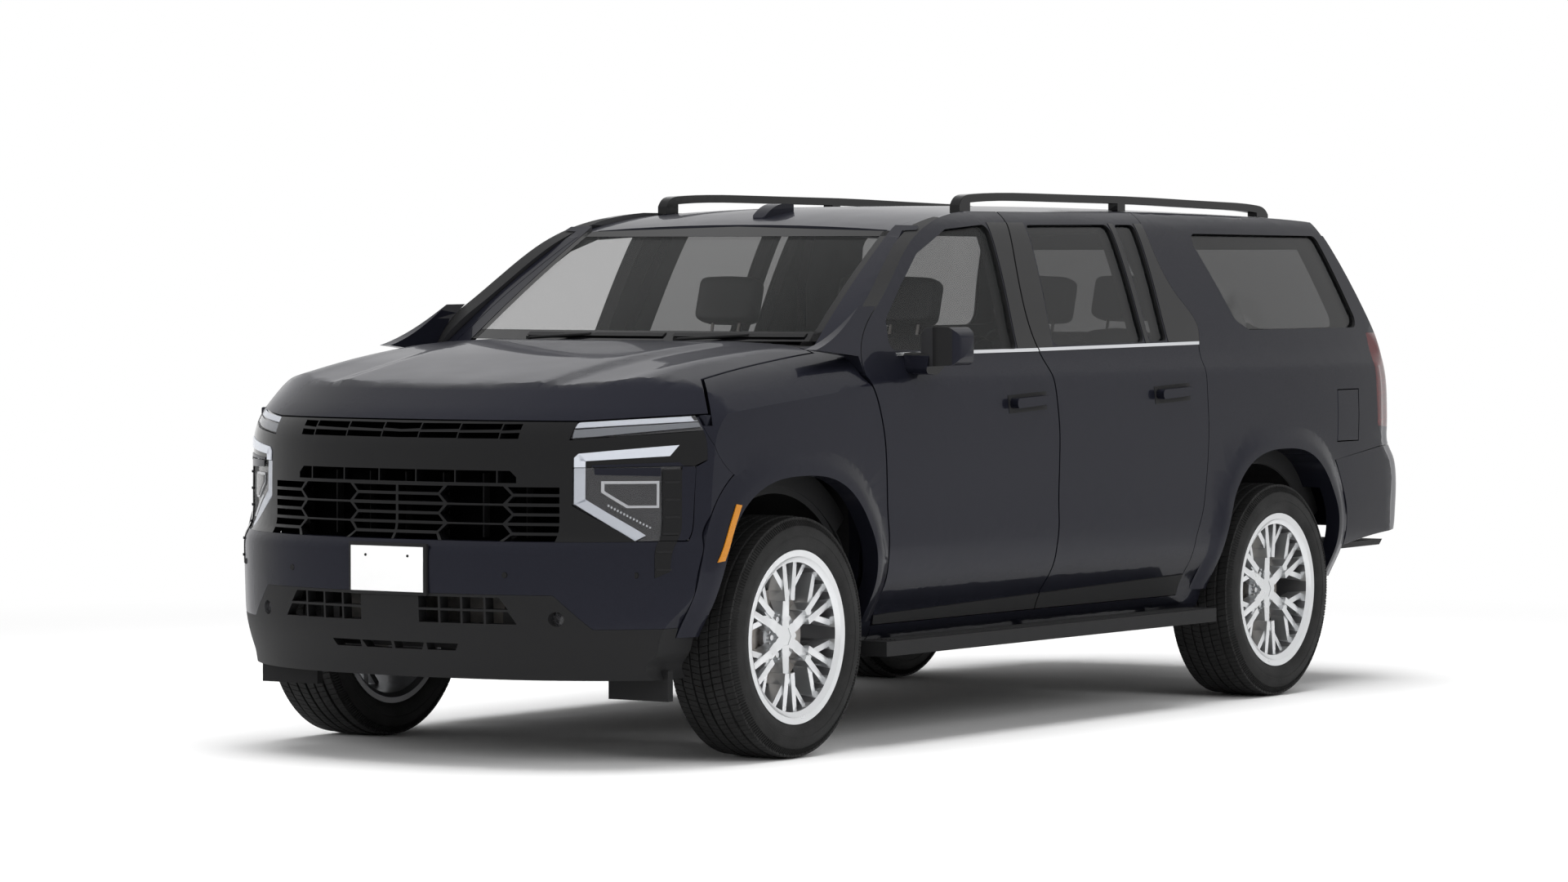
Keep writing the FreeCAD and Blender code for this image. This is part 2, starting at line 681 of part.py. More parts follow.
def grille():
    """Black face between the lamps with its rows of cells and slots."""
    points = [(0, 766), (820, 766), (638, 886), (638, 1014), (944, 1018), (1000, 1060),
              (1000, 1138), (624, 1104), (630, 1164), (0, 1164)]
    face = nose_zone(points, LAMP_END)
    tools = []
    for mid in CELL_ROWS:
        tools += slot_tool([(176, mid), (206, mid + 29), (414, mid + 29), (444, mid), (414, mid - 29),
                            (206, mid - 29)])
        for low, high in ((5, 27), (-27, -5)):
            slant = 10 if low > 0 else -10
            tools += slot_tool([(5, mid + low), (5, mid + high), (180 + slant, mid + high),
                                (180 - slant, mid + low)])
            tools += slot_tool([(440 - slant, mid + high), (600, mid + high), (600, mid + low),
                                (440 + slant, mid + low)])
    edges = [0] + SLAT_PLACES + [462]
    for start, stop in zip(edges, edges[1:]):
        x0 = start + 2.5 if start else -1
        x1 = stop - 2.5
        top = 1001 if stop < 400 else 980
        tools += slot_tool([(x0, 960), (x0, 1001), (x1 - (22 if stop > 400 else 0), 1001), (x1, top), (x1, 960)])
        tools += slot_tool([(x0, 1107), (x0, 1126), (x1, 1128), (x1, 1108)])
        tools += slot_tool([(x0, 1134), (x0, 1156), (x1, 1157), (x1, 1138)])
    return face.cut(tools)


def front_bumper():
    """Painted bumper with its wrapped corners."""
    points = [(0, 588), (604, 588), (716, 474), (1100, 474), (1100, 1262), (1000, 1262), (1000, 1060),
              (946, 1014), (940, 766), (0, 766)]
    corner = FACE_SHELL.common(block(0, 1100, along(LAMP_END) + size("seat_gap"), along(-2150),
                                     level(1010), level(1179)))
    shell = nose_zone(points).fuse([corner, mirrored(corner)])
    seam = [(y - size("seat_gap"), z) for y, z in FENDER_GAP]
    behind = side_outline(seam, [seam[-1], (-2240, 300)], [(-2240, 300), (-1000, 300)],
                          [(-1000, 300), (-1000, 1400)], [(-1000, 1400), (-2330, 1400)],
                          [(-2330, 1400), seam[0]])
    waste = through_x(behind, -1200, 1200)
    arch = through_x(FRONT_ARCH, -1200, 1200)
    flare = through_x(arch_flare(FRONT_AXLE, size("flare_seam")), -1200, 1200)
    return shell.cut([waste, arch, flare])


FOG_PLACE = (612, 509)


def front_valance():
    """Black lower grille, pods for the fog lamps, lip and air dams."""
    points = [(0, 300), (1100, 300), (1100, 474), (716, 474), (604, 588), (0, 588)]
    shell = nose_zone(points)
    flare = through_x(arch_flare(FRONT_AXLE, size("flare_seam")), -1200, 1200)
    flare = flare.common(block(-1300, 1300, FRONT, 0, level(440) - size("seat_gap"), 900))
    tools = [through_x(FRONT_ARCH, -1200, 1200), flare]
    edges = [118, 204, 290, 376, 462]
    for start, stop in zip(edges, edges[1:]):
        for low, high in ((490, 531), (539, 578)):
            lean = 30 if stop == 462 else 0
            tools += slot_tool([(start + 4, low), (start + 4, high), (stop - 4 - lean * (high > 560), high),
                                (stop - 4 + lean * (low < 500), low)])
    for side in (-1, 1):
        x, z = across(side * FOG_PLACE[0]), level(FOG_PLACE[1])
        tools.append(Part.makeCylinder(24, 500, V(x, FRONT - 50, z), V(0, 1, 0)))
    for start in (6, 140):
        tools += slot_tool([(start, 396), (start, 420), (start + 126, 420), (start + 110, 396)])
    dams = [block(s * 745 - 122, s * 745 + 122, along(-2470), along(-2440), level(226), level(330))
            for s in (-1, 1)]
    return shell.cut(tools).fuse(dams)


def headlamps():
    """Lamp strip, angular lamp and fog lamp of each side."""
    strip = FACE_SHELL.common(through_y(LAMP_STRIP, FRONT - 50, along(LAMP_END)))
    lower = FACE_SHELL.common(through_y(LAMP_SIDE, FRONT - 50, along(LAMP_END)))
    lower = lower.cut(through_x(arch_flare(FRONT_AXLE, size("flare_seam")), -1200, 1200))
    x, z = across(FOG_PLACE[0]), level(FOG_PLACE[1])
    fog = Part.makeCylinder(23.7, 34, V(x, nose_y(x, z) + 6, z), V(0, 1, 0))
    return Part.makeCompound([both(strip), both(lower), both(fog)])


def tail_zone(points, low, high):
    """Both halves of a layer of the tail inside a rear-view outline."""
    layer = sweep_solid("tail", low, high - low)
    return layer.common(through_y(flat_zone(points), along(1900), REAR + 50))


def mirror_points(points):
    """A half outline and its reflection as one closed list."""
    return points + [(-x, z) for x, z in reversed(points) if x > 0]


def liftgate():
    """Tail gate with its glass opening and roof spoiler."""
    shell = tail_zone(mirror_points(GATE_HALF), 0, TAIL_WALL)
    edge = side_solid(GAP, 2000)
    half = shell.common(block(0, 1100, along(1900), REAR + 50, 900, 2000)).common(edge)
    half = half.cut([ABOVE_ROOF, block(0, 1100, along(1900), GATE_SEAM, 900, 2000)])
    shell = half.fuse(mirrored(half))
    opening = through_y(front_panel([(-745, 1400), (745, 1400), (665, 1745), (-665, 1745)], 50),
                        along(1900), REAR + 50)
    blade_plan = plan_panel([(-715, 2238), (715, 2238), (690, 2330), (400, 2430), (-400, 2430),
                             (-690, 2330)], 40)
    blade = through_z(blade_plan, 1500, 1950).common(sweep_solid("roof", 0, 62))
    return shell.cut(opening).fuse(blade)


def liftgate_glass():
    """Rear glass in the gate."""
    opening = front_panel([(-745, 1400), (745, 1400), (665, 1745), (-665, 1745)], 50)
    return sweep_solid("tail", 14, size("glass_thickness")).common(
        through_y(opening, along(1900), REAR + 50))


LAMP_EDGE = [(2394, 1410), (2362, 1302), (2375, 1036), (2900, 1010), (2900, 1410)]


def tail_lamps():
    """Lamp wrapped round each rear corner."""
    mass = block(across(846) + GAP, 1100, along(2300), REAR, level(1010), level(1410))
    mass = mass.common(side_solid(0, 1000)).cut(BEHIND_TAIL)
    hollow = side_solid(60, 1000).cut(sweep_solid("tail", 60, -900))
    lamp = mass.cut(hollow).common(through_x(side_panel(LAMP_EDGE, 15)))
    return both(lamp)


def rear_bumper():
    """Rear bumper round both corners."""
    side_view = side_outline([(1930, 903), (2405, 952)], [(2405, 952), (2900, 956)],
                             [(2900, 956), (2900, 600)], [(2900, 600), (2415, 600), (2008, 547)],
                             [(2008, 547), (1930, 540)], [(1930, 540), (1930, 903)])
    mass = through_x(side_view, 0, 1200).common(side_solid(0, 1050)).cut(BEHIND_TAIL)
    hollow = side_solid(60, 1060).cut(sweep_solid("tail", 60, -900))
    half = mass.cut([hollow, through_x(REAR_ARCH), through_x(REAR_FLARE)])
    return half.fuse(mirrored(half))


def roof_panel():
    """Roof between the rails with its aerial."""
    panel = block(-DITCH, DITCH, along(-752), GATE_SEAM - GAP, 1400, 2000)
    panel = panel.common(sweep_solid("roof", 0, size("roof_wall")))
    fin = plan_panel([(-28, -640), (28, -640), (34, -440), (-34, -440)], 14)
    fin = through_z(fin, level(1840), level(1912))
    slope = side_outline([(-660, 1800), (-660, 1842)], [(-660, 1842), (-560, 1905), (-440, 1908)],
                         [(-440, 1908), (-440, 1800)])
    return panel.fuse(fin.common(through_x(slope, -60, 60)))


def windshield():
    """Laminated windshield."""
    outline = flat_zone(mirror_points([(0, 1418), (754, 1418), (671, 1808), (0, 1826)]))
    layer = sweep_solid("windshield", 4, 14)
    return layer.common(through_y(outline, along(-1700), along(-600)))


def body_set():
    """All outer panels and glass."""
    left = body_side()
    lid_hole = through_x(side_outline(*[[a, b] for a, b in zip(FUEL_LID, FUEL_LID[1:] + FUEL_LID[:1])]))
    recess = side_solid(-60, 70).common(lid_hole)
    stop = side_solid(10 + size("seat_gap"), 80).common(
        through_x(side_panel([(2176, 1070), (2176, 1100), (2190, 1100), (2190, 1070)], 3)))
    lamp_hole = through_x(side_panel(LAMP_EDGE, 15), 700, 1300)
    left = left.cut(lamp_hole)
    keep("body_sides", Part.makeCompound([left.cut(recess).fuse(stop), mirrored(left)]))
    keep("roof_panel", roof_panel())
    keep("front_fenders", both(max(fender(TOP_SHELL).Solids, key=lambda solid: solid.Volume)))
    keep("hood", hood())
    keep("front_bumper", front_bumper())
    keep("front_valance", front_valance())
    keep("grille", grille())
    keep("headlamps", headlamps())
    keep("tail_lamps", tail_lamps())
    keep("rear_bumper", rear_bumper())
    keep("liftgate", liftgate())
    keep("liftgate_glass", liftgate_glass())
    fixed = [windshield(), both(pane([QUARTER_WINDOW]))]
    keep("fixed_glass", Part.makeCompound(fixed))
    for side, turn in (("left", lambda shape: shape), ("right", mirrored)):
        keep("door_front_" + side, turn(door(FRONT_DOOR_RUNS, [FRONT_WINDOW]).fuse(
            door_mirror() + [door_handle(-505, -262, 1168, 1212)])))
        keep("door_rear_" + side, turn(door(REAR_DOOR_RUNS, [REAR_WINDOW, REAR_VENT]).fuse(
            door_handle(550, 793, 1180, 1224))))
        keep("glass_front_" + side, turn(pane([FRONT_WINDOW])))
        keep("glass_rear_" + side, turn(pane([REAR_WINDOW, REAR_VENT])))


def arc_liner(axle, radius, x0, x1, front_floor, rear_floor, thickness=6):
    """Inner arch liner of one wheel, open below, with its inner wall."""
    ring = Part.makeCylinder(radius, x1 - x0, V(x0, axle, HUB), V(1, 0, 0))
    hole = Part.makeCylinder(radius - thickness, x1 - x0, V(x0 + thickness, axle, HUB), V(1, 0, 0))
    deep = -radius
    waste = [block(x0 - 10, x1 + 10, axle - radius - 10, axle, deep, front_floor),
             block(x0 - 10, x1 + 10, axle, axle + radius + 10, deep, rear_floor)]
    passage = block(x0 - 10, x0 + 30, axle - 130, axle + 130, deep, HUB + 190)
    body = ring.cut([hole, passage] + waste)
    return body


def floor_pan():
    """Floor, firewall, cowl and the liners over the wheels."""
    top, thick = size("floor_height"), size("floor_thickness")
    inside = side_solid(size("body_wall") + size("frame_depth") + size("seat_gap"), HALF + 40)
    pan = block(0, HALF, along(-1380), REAR - 130, top - thick, top).common(inside)
    pan = pan.cut(block(462, HALF, REAR_AXLE - 500, REAR_AXLE + 500, 0, 2000))
    pan = pan.fuse(mirrored(pan))
    wall = block(0, HALF, along(-1402), along(-1378), top - thick, level(1330)).common(inside)
    wall = wall.cut(block(780, HALF, along(-1410), along(-1370), level(1270), 1500))
    firewall = wall.fuse(mirrored(wall))
    liners = []
    for axle, radius in ((FRONT_AXLE, 520), (REAR_AXLE, 500)):
        x0, x1 = across(462), across(900)
        liner = arc_liner(axle, radius, x0, x1, level(500), level(450)).common(inside)
        liners += [liner, mirrored(liner)]
    under_hood = sweep_solid("hood", size("front_wall") + size("seat_gap"), 900)
    post = block(680, 720, along(-1720), along(-1680), HUB + 480, 1500).common(under_hood)
    rubbers = []
    rail = size("rail_spacing") / 2 - size("rail_width") / 2
    low = size("rail_bottom") + size("rail_depth") + size("seat_gap")
    for y in (along(-1280), along(-300), along(900), REAR_AXLE + 520, REAR - 190):
        rubbers += [Part.makeCylinder(34, top - 10 - low, V(s * rail, y, low)) for s in (-1, 1)]
    return pan.fuse([firewall, post, mirrored(post)] + liners + rubbers)


def cowl():
    """Black cowl panel under the windshield, on its upstand from the firewall."""
    edge = COWL_HALF - size("seat_gap")
    rows = [(0, -1440), (400, -1420), (edge, -1380)]
    plan = [(-edge, -1556), (edge, -1556)] + rows[::-1] + [(-x, y) for x, y in rows[1:]]
    corners = [V(x, along(y), 0) for x, y in plan]
    plan = through_z(Part.Face(Part.makePolygon(corners + corners[:1])), 1200, 1600)
    panel = sweep_solid("hood", 20, 12).common(plan)
    leg = block(-700, 700, along(-1440), along(-1420), level(1300), 1450)
    foot = block(-700, 700, along(-1440), along(-1402) - size("seat_gap"), level(1300), level(1312))
    return panel.fuse([leg.common(sweep_solid("hood", 25, 900)), foot])


def seat(x, y, width, floor):
    """One seat: cushion on its base, back and head restraint."""
    depth, thick, back = size("seat_depth"), size("seat_thickness"), size("seat_back")
    base = block(x - width * 0.36, x + width * 0.36, y - depth * 0.36, y + depth * 0.36, floor, floor + 200)
    pad = block(x - width / 2, x + width / 2, y - depth / 2, y + depth / 2, floor + 200, floor + 200 + thick)
    rest = block(x - width / 2, x + width / 2, 0, thick, 0, back)
    head = block(x - 140, x + 140, 20, 115, back + 30, back + 210)
    post = block(x - 60, x + 60, 55, 75, back - 20, back + 60)
    upper = rest.fuse([head, post])
    upper.rotate(V(0, 0, 0), V(1, 0, 0), -16)
    upper.translate(V(0, y + depth / 2 - thick, floor + 200 + thick * 0.6))
    return base.fuse([pad, upper])


ROWS = {"front": -640, "middle": 330, "rear": 1240}


def seats():
    """Three rows of seats."""
    floor = size("floor_height") + size("seat_gap")
    width = size("seat_width")
    places = [(s * 400, row, width) for row in ("front", "middle") for s in (-1, 1)]
    shapes = [seat(x, along(ROWS[row]), width, floor) for x, row, width in places]
    bench = seat(0, along(ROWS["rear"]), 900, floor)
    return Part.makeCompound(shapes + [bench])


def dashboard():
    """Instrument panel and the centre console."""
    side_view = side_outline([(-1350, 1000), (-1350, 1300)], [(-1350, 1300), (-1280, 1345), (-1080, 1330)],
                             [(-1080, 1330), (-1010, 1250), (-1060, 1000)], [(-1060, 1000), (-1350, 1000)])
    panel = through_x(side_view, -across(830), across(830))
    console = block(-130, 130, along(-1100), along(-420), size("floor_height") + 0.3, 830)
    stem = block(-130, 130, along(-1250), along(-1090), size("floor_height") + 0.3, level(1010))
    column = Part.makeCylinder(28, 190, V(0, 0, -210 - size("seat_gap")))
    return panel.fuse([console, stem, on_column(column)])


WHEEL_TILT = 24
COLUMN_TOP = (400, -935, 1190)


def on_column(shape):
    """Carry a shape from the flat to the tilted steering column."""
    shape.rotate(V(0, 0, 0), V(1, 0, 0), -(90 - WHEEL_TILT))
    shape.translate(V(COLUMN_TOP[0], along(COLUMN_TOP[1]), level(COLUMN_TOP[2])))
    return shape


def steering_wheel():
    """Steering wheel with its hub and three spokes, on the tilted column."""
    radius, rim = size("steering_wheel_radius"), size("steering_rim")
    ring = Part.makeTorus(radius, rim)
    hub = Part.makeCylinder(70, 30, V(0, 0, -20))
    arms = []
    for angle in (0, 180, 270):
        arm = block(50, radius, -22, 22, -8, 8)
        arm.rotate(V(0, 0, 0), V(0, 0, 1), angle)
        arms.append(arm)
    return on_column(ring.fuse([hub] + arms))


RAIL_TOP = [(-318, 1906), (-292, 1934), (-230, 1947), (300, 1953), (1000, 1947), (1600, 1934), (1930, 1922),
            (1996, 1908), (2024, 1886)]


def roof_rails():
    """Black rail on each side of the roof, its ends and middle foot run down to the panel."""
    wide, tall = size("roof_rail_width"), size("roof_rail_height")
    x0 = across(632)
    underside = [(y + 10 * (y < 0) - 10 * (y > 1900), z - tall) for y, z in reversed(RAIL_TOP)]
    bar = side_outline(RAIL_TOP, [RAIL_TOP[-1], underside[0]], underside, [underside[-1], RAIL_TOP[0]])
    under_top = side_outline(RAIL_TOP, [RAIL_TOP[-1], (2024, 1600)], [(2024, 1600), (-318, 1600)],
                             [(-318, 1600), RAIL_TOP[0]])
    layer = sweep_solid("roof", -size("seat_gap"), -120).common(through_x(under_top, x0, x0 + wide))
    feet = [layer.common(block(x0, x0 + wide, along(y), along(y) + run, 1500, 2200))
            for y, run in ((-330, 90), (830, 60), (1930, 110))]
    return both(through_x(bar, x0, x0 + wide).common(layer).fuse(feet))


def running_boards():
    """Step along each sill on three brackets."""
    y0, y1 = along(-1390), along(950)
    x1 = across(1046)
    x0 = x1 - size("board_width")
    z0 = level(322)
    board = block(x0, x1, y0, y1, z0, z0 + size("board_height"))
    arms = [block(across(720), x0, y - 20, y + 20, z0 + 2, z0 + 22)
            for y in (along(-1100), along(-200), along(700))]
    posts = [block(across(720), across(720) + 30, y - 20, y + 20, z0 + 2,
                   size("floor_height") - size("floor_thickness") - size("seat_gap")) for y in
             (along(-1100), along(-200), along(700))]
    return both(board.fuse(arms + posts))


def box_part(name, x0, x1, y0, y1, z0, z1):
    """Box bound to the sheet between expressions for its corners."""
    box = primitive("Part::Box", name, x=x0, y=y0, z=z0)
    box.setExpression("Length", "(%s) - (%s)" % (x1, x0))
    box.setExpression("Width", "(%s) - (%s)" % (y1, y0))
    box.setExpression("Height", "(%s) - (%s)" % (z1, z0))
    return box


def chassis_frame():
    """Ladder frame of two side members and their cross members."""
    half, wide = "sizes.rail_spacing / 2", "sizes.rail_width"
    low, deep = "sizes.rail_bottom", "sizes.rail_depth"
    front, rear = AXLE_F + " - sizes.front_overhang + 180", AXLE_R + " + sizes.rear_overhang - 150"
    items = []
    for tag, sign in (("left", ""), ("right", "-")):
        x0 = half + " - " + wide if not sign else "-(%s)" % half
        x1 = half if not sign else "-(%s - %s)" % (half, wide)
        items.append(box_part("side_member_" + tag, x0, x1, front, rear, low, low + " + " + deep))
    low_cross = [("nose", front), ("engine", AXLE_F + " + 120")]
    high_cross = [("gearbox", AXLE_F + " + 1150"), ("middle", AXLE_F + " + 2100"), ("axle", AXLE_R + " - 620"),
                  ("tail", rear + " - 90")]
    for stations, bottom, top in ((low_cross, "20", "110"), (high_cross, "110", "150")):
        for tag, y in stations:
            items.append(box_part("cross_" + tag, "-(%s) + %s" % (half, wide), half + " - " + wide, y,
                                  y + " + 90", low + " + " + bottom, low + " + " + top))
    ladder = doc.addObject("Part::MultiFuse", "ladder")
    ladder.Shapes = items
    notch = box_part("axle_notch", "-(%s) - 10" % half, half + " + 10", AXLE_R + " - 110", AXLE_R + " + 110",
                     low + " - 10", "sizes.tyre_radius + 56")
    frame = doc.addObject("Part::Cut", "chassis_frame")
    frame.Base, frame.Tool = ladder, notch
    nodes["chassis_frame"] = frame


def heavy_masses():
    """Engine and fuel tank."""
    engine = box_part("engine_block", "-280", "280", AXLE_F + " - 330", AXLE_F + " + 440", "sizes.rail_bottom + 110.3", "1080")
    engine.Label = "engine_block"
    nodes["engine_block"] = engine
    tank = box_part("fuel_tank", "-sizes.rail_spacing / 2 - 260", "-sizes.rail_spacing / 2 - 0.3",
                    AXLE_F + " + 1500", AXLE_F + " + 2500", "330", "330 + 200")
    tank.Label = "fuel_tank"
    nodes["fuel_tank"] = tank


DISC_DEPTH = 142
KINGPIN_OFFSET = 66
WHEELS = {"fl": (1, FRONT_AXLE), "fr": (-1, FRONT_AXLE), "rl": (1, REAR_AXLE), "rr": (-1, REAR_AXLE)}


def wheel_places():
    """Name, side and centre of the four wheels."""
    for name, (side, axle) in WHEELS.items():
        yield name, side, V(side * size("track") / 2, axle, HUB)


def tyre_shape():
    """Tyre turned about X, its tread centre at the origin and its outer side towards +X."""
    r, half = size("tyre_radius"), size("tyre_width") / 2
    seat = size("rim_radius") + 1 + size("seat_gap")
    flange = size("rim_width") / 2 - 8 - size("seat_gap")
    wall = [V(-flange, 0, seat + 15), V(-half * 0.93, 0, seat + 29), V(-half * 0.99, 0, seat + 60),
            V(-half * 0.96, 0, r - 38), V(-half * 0.84, 0, r - 9)]
    crown = [wall[-1], V(0, 0, r), V(half * 0.84, 0, r - 9)]
    other = [V(-p.x, 0, p.z) for p in reversed(wall)]
    toe = flange - 22
    section = Part.Face(wire([wall, crown, other, [other[-1], V(flange, 0, seat)],
                              [V(flange, 0, seat), V(toe, 0, seat)],
                              [V(toe, 0, seat), V(toe, 0, seat + 18)],
                              [V(toe, 0, seat + 18), V(half * 0.86, 0, r - 40)],
                              [V(half * 0.86, 0, r - 40), V(-half * 0.86, 0, r - 40)],
                              [V(-half * 0.86, 0, r - 40), V(-toe, 0, seat + 18)],
                              [V(-toe, 0, seat + 18), V(-toe, 0, seat)],
                              [V(-toe, 0, seat), V(-flange, 0, seat)],
                              [V(-flange, 0, seat), wall[0]]]))
    return section.revolve(V(0, 0, 0), V(1, 0, 0), 360)


def spoke(start, end, x0, x1, wide, thin):
    """Tapered bar between two points of the wheel's plane."""
    run = (end - start).normalize()
    side = V(0, -run.z, run.y)
    corners = [start + side * wide, end + side * thin, end - side * thin, start - side * wide]
    corners = [V(x0, p.y, p.z) for p in corners]
    return Part.Face(Part.makePolygon(corners + corners[:1])).extrude(V(x1 - x0, 0, 0))


def on_wheel(radius, angle):
    """Point of the wheel's plane."""
    return V(0, radius * math.sin(math.radians(angle)), radius * math.cos(math.radians(angle)))


def rim_shape():
    """Wheel turned about X with its six branching spokes, hub, lug seats and brake disc."""
    r, w = size("rim_radius"), size("rim_width")
    half = w / 2
    lip = r + 14
    section = [(-half, lip), (-half, r - 6), (-half + 14, r - 22), (half - 16, r - 22), (half - 2, r - 8),
               (half, lip), (half - 8, lip), (half - 8, r + 1), (-half + 8, r + 1), (-half + 8, lip)]
    face = Part.Face(Part.makePolygon([V(x, 0, z) for x, z in section + section[:1]]))
    barrel = face.revolve(V(0, 0, 0), V(1, 0, 0), 360)
    hub_r = size("hub_radius")
    hub = Part.makeCylinder(hub_r, 50, V(half - 112, 0, 0), V(1, 0, 0))
    cap = Part.makeCylinder(36, 62, V(half - 112, 0, 0), V(1, 0, 0))
    x0, x1, end = half - 96, half - 34, r - 14
    spokes = []
    for group in range(6):
        angle = group * 60
        fork = on_wheel(hub_r + 62, angle)
        spokes.append(spoke(on_wheel(30, angle), fork, x0 - 6, x1 - 14, 22, 17))
        for lean in (-7.5, 7.5):
            spokes.append(spoke(on_wheel(hub_r + 48, angle + lean), on_wheel(end, angle + lean), x0, x1, 9, 10))
        for lean in (-22.5, 22.5):
            spokes.append(spoke(fork, on_wheel(end, angle + lean), x0, x1 - 6, 9, 9))
    circle = size("stud_circle") / 2
    seats_cut = [Part.makeCylinder(17, 30, V(half - 74, 0, 0) + on_wheel(circle, 30 + 60 * k), V(1, 0, 0))
                 for k in range(6)]
    nuts = [Part.makeCylinder(size("stud_radius") + 3, 22, V(half - 80, 0, 0) + on_wheel(circle, 30 + 60 * k),
                              V(1, 0, 0)) for k in range(6)]
    disc = Part.makeCylinder(size("disc_radius"), 30, V(half - DISC_DEPTH, 0, 0), V(1, 0, 0))
    bell = Part.makeCylinder(90, 60, V(half - DISC_DEPTH, 0, 0), V(1, 0, 0))
    return barrel.fuse([hub, bell, disc] + spokes).cut(seats_cut).fuse(nuts + [cap])


def wheels():
    """Rim and tyre of each wheel."""
    tyre, rim = tyre_shape(), rim_shape()
    for name, side, centre in wheel_places():
        for kind, shape in (("tyre", tyre), ("rim", rim)):
            copy = shape.copy() if side > 0 else mirrored(shape)
            copy.translate(centre)
            keep(kind + "_" + name, copy)




def kingpin_x():
    """Distance of the steering axis from the middle of the vehicle."""
    return size("track") / 2 - KINGPIN_OFFSET


def disc_face_x():
    """Inner face of the brake disc."""
    return size("track") / 2 + size("rim_width") / 2 - DISC_DEPTH


def knuckles():
    """Front knuckle of each side, with its stub axle."""
    x, y, z = kingpin_x(), FRONT_AXLE, HUB
    post = Part.makeCylinder(26, 260, V(x, y, z - 130), V(0, 0, 1))
    stub = Part.makeCylinder(24, disc_face_x() - size("seat_gap") - x, V(x, y, z), V(1, 0, 0))
    knuckle = post.fuse(stub)
    keep("knuckle_left", knuckle)
    keep("knuckle_right", mirrored(knuckle))


def running_gear():
    """Gearbox, drive shaft and rear axle, and the front suspension arms."""
    end = disc_face_x() - size("seat_gap")
    tube = Part.makeCylinder(42, 2 * end, V(-end, REAR_AXLE, HUB), V(1, 0, 0))
    ball = Part.makeCylinder(112, 240, V(0, REAR_AXLE - 120, HUB), V(0, 1, 0))
    engine_rear = FRONT_AXLE + 440
    box_end = FRONT_AXLE + 1110
    gearbox = Part.makeCylinder(98, box_end - engine_rear, V(0, engine_rear + 0.3, HUB), V(0, 1, 0))
    shaft = Part.makeCylinder(38, REAR_AXLE - box_end, V(0, box_end, HUB), V(0, 1, 0))
    keep("driveline", ball.fuse([tube, shaft, gearbox]))
    x0 = size("rail_spacing") / 2 + 0.3
    x1 = kingpin_x() - 26 - 0.3
    lower = block(x0, x1, FRONT_AXLE - 40, FRONT_AXLE + 40, HUB - 40, HUB - 10)
    upper = block(x0, x1, FRONT_AXLE - 30, FRONT_AXLE + 30, HUB + 80, HUB + 106)
    keep("suspension_arms", Part.makeCompound([both(lower), both(upper)]))
    keep("rear_suspension", both(rear_springs()))


def rear_springs():
    """Trailing arm of the left end of the rear axle, on its hanger under the frame."""
    x, gap = 389, size("seat_gap")
    top = size("rail_bottom") - 6
    arm = block(x - 24, x + 24, REAR_AXLE - 620, REAR_AXLE + 30, top - 50, top)
    saddle = block(x - 24, x + 24, REAR_AXLE - 30, REAR_AXLE + 30, top - 10, HUB - 42 - gap)
    hanger = block(x - 30, x + 30, REAR_AXLE - 640, REAR_AXLE - 580, top - 50, size("rail_bottom") - gap)
    return arm.fuse([hanger, saddle])


def wipers():
    """Two wiper arms with their blades, parked along the foot of the windshield."""
    layer = sweep_solid("windshield", -8, 12 - size("seat_gap"))
    glass = sweep_solid("windshield", 4 - size("seat_gap"), 40)
    cowl_skin = sweep_solid("hood", 20 - size("seat_gap"), 60)
    arms = []
    for x0, x1 in ((-470, 150), (190, 700)):
        strip = flat_zone([(x0, 1434), (x1, 1434), (x1, 1446), (x0, 1446)])
        blade = layer.common(through_y(strip, along(-1620), along(-1200)))
        x, y = across(x0 + 40), windshield_y(across(x0 + 40), level(1412)) - 12
        foot = V(x, y, hood_z(x, y) - 24)
        pivot = Part.makeCylinder(9, 30, foot, V(0, 0, 1)).cut(cowl_skin)
        middle = across(x0 + 300)
        reach = V(middle, windshield_y(middle, level(1440)) - 8, level(1440)) - foot - V(0, 0, 24)
        arm = Part.makeCylinder(6, reach.Length, foot + V(0, 0, 24), reach)
        arms.append(pivot.fuse([arm, blade]).cut(glass))
    return Part.makeCompound(arms)


def tow_receiver():
    """Square receiver tube under the tail on its cross tube and side plates."""
    bore, wall = size("receiver_bore"), size("receiver_wall")
    outer = bore + 2 * wall
    mouth, z = REAR - 62, size("rail_bottom") + 60
    tube = block(-outer / 2, outer / 2, mouth - 340, mouth, z - outer / 2, z + outer / 2)
    tube = tube.cut([block(-bore / 2, bore / 2, mouth - 330, mouth + 1, z - bore / 2, z + bore / 2),
                     Part.makeCylinder(7.95, 2 * outer, V(-outer, mouth - 70, z), V(1, 0, 0))])
    inner = size("rail_spacing") / 2 - size("rail_width")
    cross = block(-inner + size("seat_gap"), inner - size("seat_gap"), mouth - 330, mouth - 270, z - 32, z + 32)
    return tube.fuse(cross.cut(block(-bore / 2, bore / 2, mouth - 340, mouth, z - bore / 2, z + bore / 2)))


def radiator():
    """Radiator behind the grille, standing on the frame's front cross member."""
    foot = FRONT + 180 + 20
    core = block(-340, 340, foot, foot + 55, size("rail_bottom") + 110 + size("seat_gap"), level(1080))
    return core


